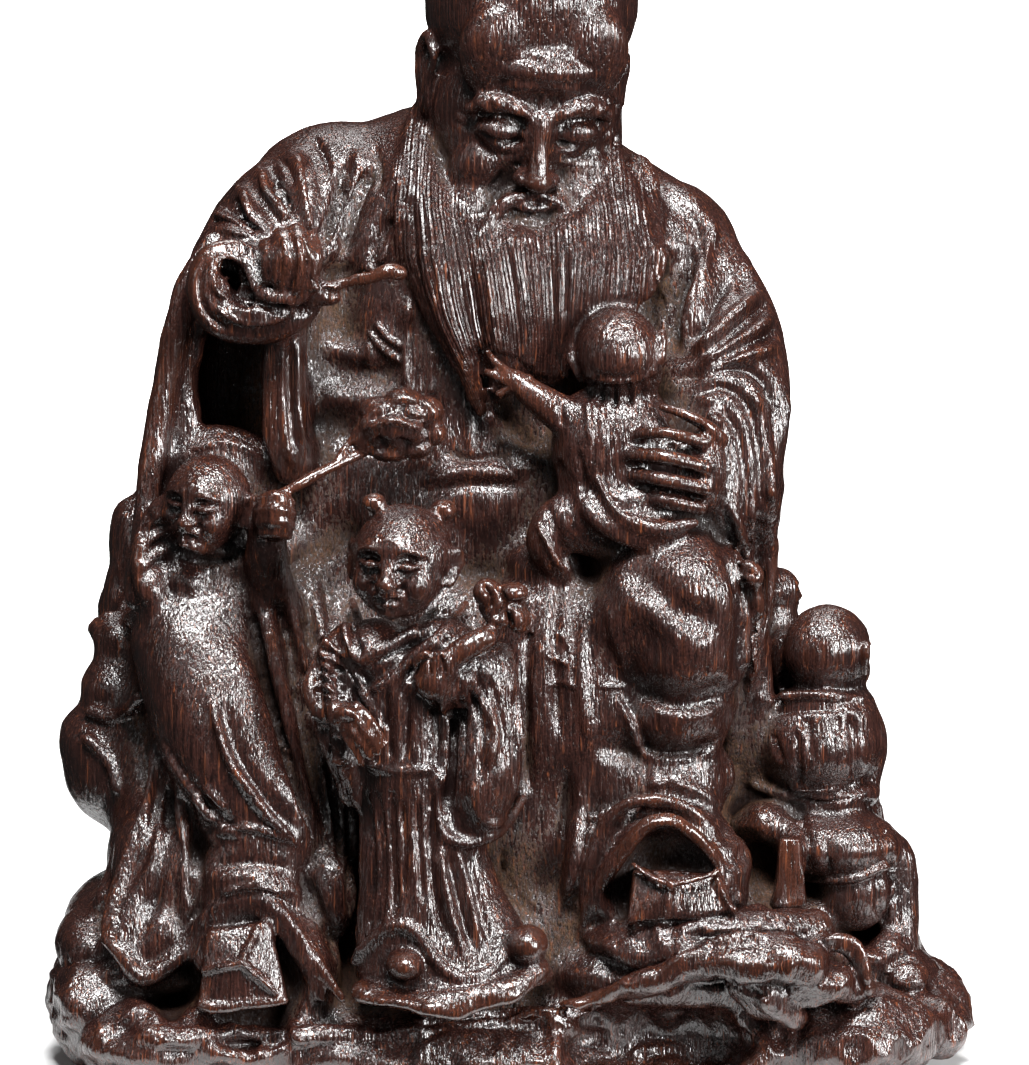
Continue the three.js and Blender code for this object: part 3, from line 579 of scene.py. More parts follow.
clothStrokes = [
    # shoulder fan
    ("ridge", 0.4, 0.7, [(-22, 79.2), (-21, 77.5), (-20.1, 75.4), (-19, 73.3)]),
    ("groove", 0.6, 0.7, [(-21, 79.2), (-19.6, 76.7), (-18.6, 73.8)]),
    ("ridge", 0.9, 0.6, [(-19, 80.5), (-17.8, 76.7), (-17.3, 72.3)]),
    ("groove", 0.5, 0.4, [(-17, 80), (-16.1, 75.8), (-16.6, 71.7)]),
    ("groove", 0.36, 0.9, [(-14, 79), (-15.3, 74.8), (-16.4, 71.2)]),
    ("ridge", 0.55, 0.8, [(-12.6, 80.3), (-13.6, 76.7), (-14.6, 72.9), (-16, 69.8)]),
    ("groove", 0.4, 0.9, [(-11.8, 78.5), (-13.3, 74.2), (-14.6, 70.5)]),
    ("ridge", 0.8, 0.5, [(-9.6, 79.2), (-11.1, 75), (-13.1, 70.8)]),
    ("ridge", 0.35, 0.6, [(-9.3, 75.3), (-10.8, 72.5), (-12.6, 69.8), (-15, 68.3)]),
    ("groove", 0.4, 0.5, [(-10.1, 73.8), (-11.5, 71.7), (-12.3, 70.8)]),
    ("ridge", 0.45, 0.6, [(-25.6, 74.6), (-24, 73.7), (-21.3, 72.3)]),
    ("groove", 0.4, 0.6, [(-25, 75.7), (-22.8, 74), (-20.8, 72.8)]),
    ("ridge", 0.5, 0.6, [(-23.5, 77.3), (-22, 74.6), (-20.1, 72.7)]),
    # his left shoulder
    ("ridge", 0.8, 0.4, [(11.7, 77.7), (14.7, 75.8), (16.9, 72.5)]),
    ("groove", 0.7, 0.4, [(12.9, 75.8), (15.5, 73.3), (17.7, 69.2)]),
    ("ridge", 0.6, 0.4, [(17.2, 75), (19.4, 70.8), (21.2, 65.8)]),
    ("groove", 0.5, 0.4, [(18.5, 70), (20.2, 66.7)]),
    # fold bundle of the hanging sleeve
    ("ridge", 0.35, 0.7, [(-19.3, 63.8), (-19.3, 59.2), (-18.9, 54.2), (-18.1, 52.5)]),
    ("groove", 0.3, 0.6, [(-18.8, 63.8), (-18.8, 59.2), (-18.4, 54.2)]),
    ("ridge", 0.35, 0.6, [(-18.2, 64.2), (-18.2, 59.2), (-17.8, 54.6)]),
    ("groove", 0.4, 0.9, [(-17, 64.6), (-16.9, 59.2), (-16.8, 55)]),
    ("ridge", 0.9, 0.4, [(-16.1, 63.3), (-13.5, 62.3), (-9.6, 62)]),
    ("ridge", 0.9, 0.4, [(-16.3, 59), (-13.6, 58.5), (-11.1, 58.7)]),
    # sash and belly
    ("ridge", 0.5, 0.5, [(-7.7, 51.3), (-4.5, 52.4), (-1.1, 52.3), (1.5, 52.8)]),
    ("groove", 0.5, 0.5, [(-8.2, 50.5), (-4.5, 51.3), (1, 51.3)]),
    ("groove", 0.7, 0.9, [(-3.3, 62.9), (-1.8, 59.3), (-0.1, 56.3), (2.2, 54.2)]),
    ("groove", 0.9, 0.7, [(-6.1, 43.3), (-2, 44), (2.6, 42.5)]),
    # trailing robe
    ("groove", 0.4, 0.8, [(-29.6, 27.3), (-30.2, 22.8), (-31, 19.8), (-32.5, 16.7), (-33.5, 13.8)]),
    ("groove", 0.6, 0.8, [(-28.5, 25.8), (-28.8, 21.7), (-29.5, 18), (-30.6, 14.8), (-31.6, 12)]),
    ("groove", 0.45, 0.7, [(-30.7, 25), (-31.8, 21.2), (-33.5, 17.5), (-34.8, 14.5)]),
    # left leg
    ("ridge", 1.1, 0.8, [(-23.8, 38.3), (-22.3, 34.1), (-20.8, 30.1), (-19.3, 25.8), (-17.6, 22.1), (-16.6, 19.7)]),
    ("groove", 0.4, 1.1, [(-22.5, 42.3), (-21.5, 38.3), (-20.5, 33.3), (-19.4, 29), (-18.1, 25), (-17, 21.2)]),
    ("ridge", 0.6, 0.8, [(-21.1, 41.7), (-20, 36.7), (-18.9, 31.7), (-17.8, 26.7), (-16.3, 20.8)]),
    ("groove", 0.4, 0.9, [(-19.8, 41.7), (-18.6, 37.5), (-17.8, 32.5), (-16.8, 27.5), (-15.6, 21.7)]),
    ("ridge", 0.5, 0.6, [(-19, 41.7), (-17.8, 37.5), (-17, 32.5), (-16, 26.7), (-14.6, 20.8)]),
    ("groove", 0.4, 0.8, [(-17.8, 42.5), (-16.8, 37.5), (-16, 32.5), (-15.1, 26.7), (-14, 20.8)]),
    ("ridge", 0.5, 0.6, [(-17, 43.3), (-15.8, 37.5), (-15, 32.5), (-14.2, 26.7)]),
    ("groove", 0.4, 0.7, [(-16, 44.2), (-14.8, 38.3), (-14, 33.3), (-13.6, 30)]),
    ("ridge", 0.35, 0.6, [(-25.1, 33.3), (-24.3, 29.8), (-23.3, 27.3), (-21.8, 25.2), (-20.5, 23.2), (-17.8, 20.7)]),
    ("groove", 0.5, 0.6, [(-24.3, 33), (-23.3, 29.6), (-22.1, 27), (-20.6, 24.7), (-17.8, 21.8)]),
    ("edge", 0.6, 0.5, [(-21, 21.2), (-23.5, 22.2), (-25.7, 24.5), (-27.5, 26.7), (-29.5, 30)]),
    ("ridge", 0.5, 0.5, [(-27.1, 25), (-25.8, 22.5), (-24.3, 20.8)]),
    ("groove", 0.5, 0.45, [(-25.1, 19), (-22.8, 19.5), (-20.1, 19.2), (-18.6, 18.5)]),
    ("ridge", 0.6, 0.35, [(-24.8, 17.8), (-22, 18.3), (-19.1, 17.5), (-17.8, 15.7)]),
    ("groove", 0.5, 0.7, [(-17.8, 19.2), (-16.5, 15.8), (-14.5, 11.7), (-13.5, 9.2)]),
    # robe on his left: folds from the crook of the arm
    ("ridge", 0.55, 1.1, [(14.5, 62.3), (15.3, 66.7), (16.4, 71.7), (16.7, 74.5)]),
    ("groove", 0.4, 1.1, [(13.7, 62.5), (14.2, 66.7), (15, 70.8), (15.2, 72.8)]),
    ("ridge", 0.5, 1.1, [(15.4, 62.2), (17.6, 64.8), (20.9, 68)]),
    ("groove", 0.45, 1.1, [(15.2, 63.3), (16.8, 66.7), (18.7, 69.8)]),
    ("ridge", 0.45, 1, [(15.7, 61.4), (18.5, 63.2), (21.9, 65.7)]),
    ("groove", 0.3, 0.9, [(15.7, 61.9), (18.2, 64), (21.4, 66.7)]),
    ("ridge", 0.45, 0.9, [(15.5, 60.4), (18.5, 61.8), (22.2, 63.1)]),
    ("groove", 0.3, 0.8, [(15.9, 60.9), (18.7, 62.6), (22, 64.2)]),
    ("ridge", 0.8, 0.8, [(11.9, 72.5), (12.4, 69.2), (13.2, 64.2)]),
    ("ridge", 0.4, 0.6, [(13.2, 70.8), (13.9, 67.5), (14.2, 63.8)]),
    ("groove", 0.35, 0.9, [(13.5, 60.2), (16, 60.7), (18.9, 61.2), (21.2, 60), (22.5, 56.7)]),
    ("groove", 0.35, 0.8, [(15.4, 58.9), (17.2, 59.6), (18.9, 58.9), (20.3, 56.3), (20.9, 52.5), (20.9, 48.3)]),
    ("groove", 0.3, 0.7, [(16.5, 57.8), (18, 57), (19, 55), (19.5, 51.2), (19.5, 47.5)]),
    ("ridge", 0.5, 0.9, [(21.2, 55), (21.5, 50), (21.5, 45), (21, 40), (20.4, 35)]),
    ("groove", 0.35, 0.9, [(20.5, 50), (20.7, 45), (20.5, 40.8), (19.9, 35.8)]),
    ("ridge", 0.4, 0.7, [(19.9, 50), (20, 46.2), (19.9, 42.5)]),
    ("ridge", 0.5, 0.5, [(23.2, 60), (22.7, 55), (22, 50)]),
    ("groove", 0.4, 0.6, [(21.9, 58.3), (22.3, 54.6), (22.1, 50)]),
    # under the arm, beside the knee
    ("ridge", 0.5, 0.8, [(18, 49.8), (19.5, 45), (20.3, 40), (19.7, 33.3)]),
    ("ridge", 0.5, 0.6, [(17, 50), (18.7, 46.2), (19.5, 42.5)]),
    # left knee
    ("edge", 0.7, 0.8, [(17.4, 29.7), (14.7, 28.3), (11.4, 28.7), (9.9, 31.7), (8.4, 34.2)]),
    ("ridge", 0.5, 0.5, [(10.5, 33.3), (12.5, 32), (15.5, 31.8), (17.9, 33.3)]),
    ("groove", 0.35, 0.4, [(11, 27.7), (11.1, 25)]),
    ("groove", 0.35, 0.4, [(12.7, 27.3), (12.9, 25)]),
    ("ridge", 0.5, 0.5, [(8, 41.7), (8.7, 38.3), (10, 34.8)]),
    # foot hollow folds
    ("groove", 0.5, 0.6, [(5.5, 16.2), (7.2, 19.8), (9.7, 22.8), (11.9, 23.8), (14.7, 23)]),
    ("ridge", 0.5, 0.5, [(10.5, 25.8), (13, 26.2), (15.5, 25.3), (17.7, 23.3)]),
    # train
    ("groove", 0.5, 0.8, [(-29.6, 27.5), (-30.3, 23), (-31.5, 19.9), (-33, 16.7), (-34.6, 13.3)]),
    ("groove", 0.6, 0.8, [(-28.8, 25.8), (-29, 22.5), (-29.5, 18.3), (-30.3, 14.2)]),
    ("ridge", 0.5, 0.8, [(-28.1, 25.8), (-27.7, 22.2), (-27.5, 18.3), (-27, 14.2)]),
    ("groove", 0.5, 0.7, [(-27, 25), (-26.6, 20.8), (-26.3, 16.2)]),
    # folds of the crumpled sleeve
    ("groove", 0.35, 0.7, [(-28.6, 48.2), (-30.3, 47.5), (-31.1, 46.2)]),
    ("groove", 0.35, 0.7, [(-28.5, 46.7), (-30.1, 46), (-31.3, 44.8)]),
    ("groove", 0.35, 0.7, [(-28.5, 45), (-29.8, 44.5), (-31.1, 43.3)]),
]

beardMasses = {
    "lumps": [
        ((-3.3, -8.9, 73.2), (2.6, 2.4, 3.2)), ((4.4, -8.6, 73.4), (2.6, 2.4, 3.2)),
        ((0.5, -8.9, 70), (3.4, 2.6, 2.4)), ((-2.4, -10.2, 69.6), (3, 2.4, 3)), ((3.6, -10.2, 69.6), (3, 2.4, 3)),
        ((-1.5, -10.9, 72), (1.4, 1.2, 1.2)),
    ],
    "flatLimbs": {
        0.34: [
            [(0, -11.4, 70.6, 1.8), (0, -12.4, 68.8, 3.2), (-0.2, -13, 65.7, 3.5), (-0.4, -13, 61.9, 3),
             (-0.8, -12.6, 59.3, 1.8)],
            [(7, -5.8, 78, 1.4), (6.7, -8, 74.6, 2.2), (5.9, -10.2, 71.1, 3.4), (4.9, -12, 67.6, 4),
             (4, -12.6, 64, 3.8), (3, -12.6, 61, 2.6)],
            [(-6.3, -6, 78, 1.4), (-6, -8.2, 74.6, 2.2), (-5.2, -10.4, 71.2, 3), (-4.5, -12, 67.6, 3.2),
             (-3.6, -12.8, 64, 2.8), (-3.1, -12.8, 61.3, 2)],
            [(2.6, -11.4, 69.6, 2.4), (2.5, -12.6, 64.8, 2.6)], [(-2.6, -11.4, 69.6, 2.2), (-2.3, -12.6, 64.8, 2.4)],
            [(-3.6, -12.8, 62.3, 1.6), (-3.3, -13, 59, 1.2), (-2.6, -13, 55.9, 0.5)],
            [(-7, -4.2, 79.5, 2.4), (-7.5, -7.4, 74.9, 2.8), (-7, -10, 69.8, 2.6), (-5.8, -11.8, 64.7, 1.8),
             (-4.5, -12.6, 60.5, 0.9)],
            [(7.4, -4, 79.6, 1.5), (7.7, -5.8, 77.2, 1.5), (8.5, -7.6, 73.7, 2.6), (8.9, -10.2, 69.5, 3),
             (8.2, -12, 64.7, 2.3)],
            [(-9.1, -4.2, 76.1, 2.2), (-9.6, -7, 72.3, 2), (-8.6, -9.4, 69.3, 1.2)],
            [(10.5, -4.8, 75.4, 1.8), (10.9, -8, 70.8, 2), (10.7, -10.6, 67, 1.4)],
        ],
    },
}


def headFrame(place):
    # a head faces the front, then is bowed by pitch, leans by roll and is turned
    centre, _, pitch, roll, turn = place
    turned = Euler((math.radians(pitch), 0, 0)).to_matrix().to_4x4()
    turned = Euler((0, math.radians(roll), math.radians(turn))).to_matrix().to_4x4() @ turned
    return Matrix.Translation(centre) @ turned


elder = {
    "place": ((0.8, -3.8, 81.2), 1, 18, 4, 11),
    "skull": [
        ((0, 0, 0), (8.3, 8.6, 9)), ((0, 2.6, 9.2), (9.1, 9.6, 10)), ((0, -3.4, -5.8), (5.9, 4.6, 5.6)),
        ((3.9, -5.2, 7.4), (3.4, 2.2, 4.4)), ((3.8, -5.5, -2.9), (3, 2.4, 3)), ((0, -6.6, -7), (2.6, 2, 1.9)),
        ((3.3, -6.9, 3.1), (2.7, 1.4, 1.1)), ((0, -7, 6), (3.6, 1.6, 2.4)), ((0, -7.4, 0), (1.5, 1.8, 3.4)),
        ((8, 1.2, 1.6), (1, 1.6, 3)),
    ],
    "features": [
        ((3.3, -6.9, 0.9), (2, 1.3, 1.25)), ((0, -9.7, -2.5), (1.2, 1.15, 1)), ((1.3, -9, -2.6), (0.8, 0.9, 0.7)),
        ((0, -8, -5.3), (2.8, 1.5, 1.7)),
    ],
    "pairs": [
        [(5.9, -6.3, 2.4, 0.5), (4.2, -7.5, 3.6, 0.65), (2.2, -8.1, 3.3, 0.6), (1.1, -8.1, 2.7, 0.4)],
        [(0.4, -9.3, -4, 0.4), (2.1, -9.3, -4.5, 0.6), (3.4, -9.7, -5.9, 0.62), (4.1, -10.9, -8.6, 0.5),
         (4.3, -12.4, -12, 0.35)],
    ],
    "strands": [
        [(0, -8, 2.4, 0.8), (0, -8.7, 0.4, 0.8), (0, -9.4, -1.6, 0.95)],
        [(-1.9, -9.1, -5.3, 0.25), (-0.7, -9.6, -4.95, 0.42), (0, -9.6, -5.1, 0.36), (0.7, -9.6, -4.95, 0.42),
         (1.9, -9.1, -5.3, 0.25)],
        [(-1.5, -9.1, -5.95, 0.28), (0, -9.6, -6.15, 0.52), (1.5, -9.1, -5.95, 0.28)],
        [(-8.3, -0.6, 4.8, 0.45), (-8.7, 1, 5.8, 0.5), (-9, 1.8, 3.8, 0.55), (-8.7, 1, 1, 0.45),
         (-8.3, -0.2, -1.8, 0.8), (-8.2, -0.4, -3.4, 0.7)],
        [(-8.3, -0.9, 4.6, 0.35), (-8.4, -0.9, 2.2, 0.35), (-8.3, -0.7, -0.4, 0.5)],
        [(8.1, -0.4, 4.2, 0.5), (8.6, 1.4, 4.6, 0.5), (8.8, 2.2, 2.6, 0.5), (8.4, 1.2, 0.2, 0.45),
         (8.2, -0.2, -2.6, 0.8), (8.2, -0.4, -4, 0.6)],
    ],
    "sockets": [
        ("groove", 1.1, 1, [(1.5, 0.9), (3.3, 1.2), (5.4, 0.9)]),
        ("groove", 0.8, 0.3, [(1.8, -1.6), (2.9, -3), (3.7, -5), (4, -7)]),
        ("groove", 0.7, 0.4, [(-1.6, 4.4), (0, 4.7), (1.6, 4.4)]),
    ],
    "lines": [
        ("groove", 0.26, 0.55, [(1.3, 0.7), (2.3, 0.2), (3.3, 0.05), (4.3, 0.3), (5.2, 0.9)]),
        ("groove", 0.3, 0.35, [(1.2, 1.5), (2.1, 2.2), (3.3, 2.45), (4.4, 2.2), (5.4, 1.5)]),
        ("groove", 0.3, 0.3, [(1.9, -0.6), (2.8, -1.05), (3.9, -1.05), (5, -0.4)]),
        ("groove", 0.25, 0.2, [(5.4, 1), (6.6, 1.6)]),
        ("groove", 0.25, 0.2, [(5.5, 0.5), (6.8, 0.5)]),
        ("groove", 0.4, 0.25, [(1.7, -1.9), (2.7, -3.1), (3.5, -4.7), (3.7, -6.4)]),
        ("groove", 0.24, 0.35, [(1, -1.7), (1.9, -1.9), (2.1, -2.8), (1.5, -3.4)]),
        ("groove", 0.24, 0.4, [(0, -5.45), (0.9, -5.5), (2, -5.3)]),
        ("groove", 0.25, 0.2, [(0.45, 3), (0.6, 4.6)]),
        ("groove", 0.35, 0.25, [(0, 5.7), (2, 5.9), (4.6, 5.2)]),
        ("groove", 0.35, 0.22, [(0, 7.5), (2, 7.7), (4, 7)]),
        ("groove", 0.26, 0.2, [(2, 3), (2.6, 4.2)]), ("groove", 0.26, 0.2, [(3, 3.1), (3.6, 4.4)]),
        ("groove", 0.26, 0.2, [(4, 2.9), (4.8, 4)]), ("groove", 0.26, 0.2, [(5, 2.5), (5.9, 3.3)]),
    ],
    "reach": 12,
}

boyHead = {
    "skull": [
        ((0, 0, 0.04), (0.92, 1, 1)), ((0, -0.26, -0.4), (0.76, 0.66, 0.6)), ((0.4, -0.6, -0.34), (0.36, 0.32, 0.36)),
        ((0, -0.7, -0.8), (0.3, 0.22, 0.2)), ((0, -0.74, 0.34), (0.5, 0.24, 0.3)),
    ],
    "features": [
        ((0.37, -0.78, 0.0), (0.25, 0.17, 0.15)), ((0, -1.04, -0.29), (0.17, 0.17, 0.14)),
        ((0.15, -0.94, -0.31), (0.12, 0.12, 0.1)), ((0, -0.84, -0.57), (0.3, 0.15, 0.18)),
        ((0, -0.82, -0.82), (0.2, 0.14, 0.13)),
    ],
    "pairs": [
        [(0.12, -0.92, 0.26, 0.05), (0.34, -0.9, 0.35, 0.07), (0.62, -0.7, 0.24, 0.05)],
        [(0.88, -0.04, 0.2, 0.07), (0.99, 0.12, 0.24, 0.08), (1.05, 0.2, 0.04, 0.08), (0.99, 0.08, -0.2, 0.08),
         (0.9, -0.04, -0.34, 0.11)],
        [(0.9, -0.04, 0.12, 0.05), (0.97, 0.06, 0.04, 0.05), (0.94, 0, -0.14, 0.06)],
    ],
    "strands": [
        [(0, -0.9, 0.14, 0.09), (0, -0.99, -0.12, 0.11)],
        [(-0.26, -0.9, -0.54, 0.04), (-0.08, -1.01, -0.5, 0.08), (0.08, -1.01, -0.5, 0.08),
         (0.26, -0.9, -0.54, 0.04)],
        [(-0.18, -0.92, -0.66, 0.05), (0, -0.98, -0.68, 0.09), (0.18, -0.92, -0.66, 0.05)],
    ],
    "sockets": [
        ("groove", 0.12, 0.12, [(0.16, 0.1), (0.36, 0.15), (0.66, 0.08)]),
        ("groove", 0.09, 0.08, [(0.2, -0.06), (0.17, -0.2)]),
        ("groove", 0.08, 0.08, [(0.24, -0.3), (0.36, -0.46), (0.37, -0.68)]),
    ],
    "lines": [
        ("groove", 0.055, 0.14, [(0.15, -0.03), (0.26, -0.1), (0.38, -0.11), (0.5, -0.06), (0.62, 0.04)]),
        ("groove", 0.055, 0.08, [(0.15, 0.1), (0.27, 0.17), (0.39, 0.18), (0.54, 0.1)]),
        ("groove", 0.05, 0.07, [(0.22, -0.2), (0.38, -0.22), (0.52, -0.14)]),
        ("groove", 0.055, 0.14, [(0, -0.585), (0.1, -0.6), (0.28, -0.56)]),
        ("groove", 0.055, 0.09, [(0.13, -0.19), (0.27, -0.24), (0.29, -0.36), (0.17, -0.42)]),
        ("groove", 0.045, 0.06, [(0, -0.42), (0, -0.49)]),
        ("groove", 0.08, 0.07, [(0, -0.76), (0.16, -0.73)]),
    ],
    "reach": 1.35,
}

boys = {
    "standing": ((-9.2, -22.4, 45.3), 4.6, 1, 3, -16),
    "fungus": ((-25.5, -15.6, 49.3), 3.9, 3, 6, -28),
    "inArms": ((8.9, -15, 61.6), 3.9, 40, 14, 168),
    "kneeling": ((26.6, -6.6, 35.2), 4, 10, 0, 150),
    "climbing": ((22.7, 6, 38.7), 1.9, 0, 0, 100),
}


def addHeadLumps(head, place, part):
    # a lump off the middle is there on both sides
    at = headFrame(place)
    size = place[1]
    turns = [math.degrees(v) for v in at.to_euler()]
    for (x, y, z), halves in head[part]:
        for way in (1, -1) if x else (1,):
            addLump(at @ (size * Vector((way * x, y, z))), [size * v for v in halves], turns)


def addHeadStrands(head, place):
    # brows, lips, ears, moustache: those in pairs are drawn once
    at = headFrame(place)
    size = place[1]
    mirrored = [[(-x, y, z, r) for x, y, z, r in strand] for strand in head["pairs"]]
    for strand in head["pairs"] + mirrored + head["strands"]:
        addLimb([(*(at @ (size * Vector(s[:3]))), size * s[3]) for s in strand])


def drawFace(piece, head, place, part="lines"):
    at = headFrame(place)
    size = place[1]
    lines = []
    for kind, width, tall, points in head[part]:
        for way in (1, -1):
            lines.append((kind, size * width, size * tall, [(way * size * x, size * z) for x, z in points]))
    middle = np.array(place[0])
    reach = size * head["reach"]
    sculpt(piece, lines, inFrame(at), within=lambda coords: np.linalg.norm(coords - middle, axis=1) < reach)


boyMasses = {
    "lumps": [
        # smallest boy
        ((9, -14, 53.3), (5, 4.4, 6.4)), ((6.5, -14.6, 53.8), (3.4, 4, 5)), ((10.5, -14.6, 49.2), (5.2, 4.6, 3.6)),
        # boy with the fungus
        ((-24.6, -10.2, 50.8), (5, 2.2, 4.4)), ((-25.4, -11, 43.6), (5.6, 5, 5)),
        ((-28.8, -11.8, 44.5), (3.2, 3.4, 3.6)), ((-29.9, -12.6, 46.1), (2, 2.8, 2.6)),
        ((-29.5, -14.2, 45.9), (2, 2, 2.4)),
        # kneeling boy
        ((25.7, -7, 27.5), (5.5, 5.2, 4.3)), ((26, -7, 29.7), (5, 4.6, 2.8)), ((28, -8, 19), (4.8, 5.6, 3)),
        ((25.7, -8, 19.2), (4, 5.6, 2.8)), ((21.2, -9, 21), (2.3, 2.6, 1.8)), ((22.2, -4, 34), (1.1, 2, 2.2)),
        ((23, 0, 32.2), (3, 4, 4)), ((29, -2.6, 15.6), (4.2, 4.4, 4.8)), ((23.9, -4, 22.8), (4, 5, 8)),
        ((30.4, -7.6, 18.5), (2.1, 3.4, 2.2)), ((26.9, -6, 23), (4.4, 4.6, 1.6)),
        # climbing boy
        ((22.7, 7, 35.8), (2, 3, 2.4)),
        # standing boy: his robe from the hips down is a bell of its own
        ((-9, -21.6, 33.6), (4, 3.8, 5)), ((-11.5, -21.8, 37.8), (3.2, 3.2, 2.6)),
        ((-6.1, -21.8, 37.8), (3.4, 3.2, 2.6)),
    ],
    "limbs": [
        [(6.4, -15.4, 55.2, 2.2), (3.9, -16, 56.8, 1.7), (1.7, -16, 58.3, 1.3), (0.2, -15.6, 59.6, 1)],
        [(10.5, -14.6, 45.9, 2.6), (6.4, -15.6, 47.1, 2.5), (3.9, -16.2, 47.8, 2.1), (2.7, -16.6, 45.8, 1.7),
         (3.9, -16.6, 43.5, 1.1)],
        [(5.1, -15, 53.5, 1.2), (4.8, -15.8, 51.1, 1.2), (5.5, -16, 48.8, 1.2)],
        [(-20.1, -15, 41.8, 2), (-20.6, -16, 44.4, 1.9), (-20.5, -17, 47.1, 1.7)],
        [(-27.8, -12.6, 45.6, 1.6), (-29.5, -13.6, 44.1, 1.8), (-27, -15.6, 42.3, 1.4)],
        [(28.9, -6.6, 30.5, 2), (30, -6, 27.2, 1.9), (30, -5.6, 24.2, 1.3)],
        [(30.9, -7, 18.5, 1.9), (32.5, -7, 17.5, 1.8), (32.7, -7, 13.2, 1.9), (32.9, -7.6, 11.2, 1.7)],
        [(32.9, -8, 10.7, 1.5), (31.4, -10, 10.1, 1.3)],
        # standing boy's arms and long sleeve
        [(-13.5, -22, 37.9, 2.3), (-15.3, -22.6, 35.4, 2.1), (-15, -24, 32.9, 1.8)],
        [(-14.8, -22.8, 33.7, 1.8), (-14.6, -23, 30.8, 1.8), (-14, -23, 28.3, 1.5), (-13.6, -22.8, 25.4, 1)],
        [(-4.9, -22.4, 37.8, 2.4), (-3.2, -23, 36.3, 2.2), (-5.3, -24.6, 34.8, 1.9)],
        [(-1.5, -22, 36.9, 1.8), (-1.8, -22.8, 32.1, 2.8), (-2.5, -23.2, 27.1, 3.3), (-3, -23.2, 24.2, 2.6)],
    ],
    "bell": [
        (10, -4.8, -22.6, 8.4, 5.2), (11.6, -5.2, -22.4, 8, 5), (14, -6, -22.2, 7.2, 4.6), (18, -7, -22, 5.9, 4.3),
        (23, -7.8, -21.8, 5, 4), (27, -8.4, -21.6, 4.4, 3.8), (31, -8.8, -21.6, 4.4, 3.6), (35, -9, -21.6, 4.2, 3.2),
        (38, -9, -21.6, 2.6, 2.4),
    ],
}

front = frontDepth(carving)
addMasses(clothMasses)
addMasses(beardMasses)
addMasses(boyMasses)
addDraped(front, drapedHems)
addHeadLumps(elder, elder["place"], "skull")
for place in boys.values():
    addHeadLumps(boyHead, place, "skull")
carving = fuse(carving, "figures")
sculpt(carving, clothStrokes)
drawFace(carving, elder, elder["place"], "sockets")
for place in boys.values():
    drawFace(carving, boyHead, place, "sockets")
scoop(carving, [
    ((3.5, -18, 52.2), (0.9, 2, 1)),
])


# Third stage: hands, faces, things held, shoes and rock ledges

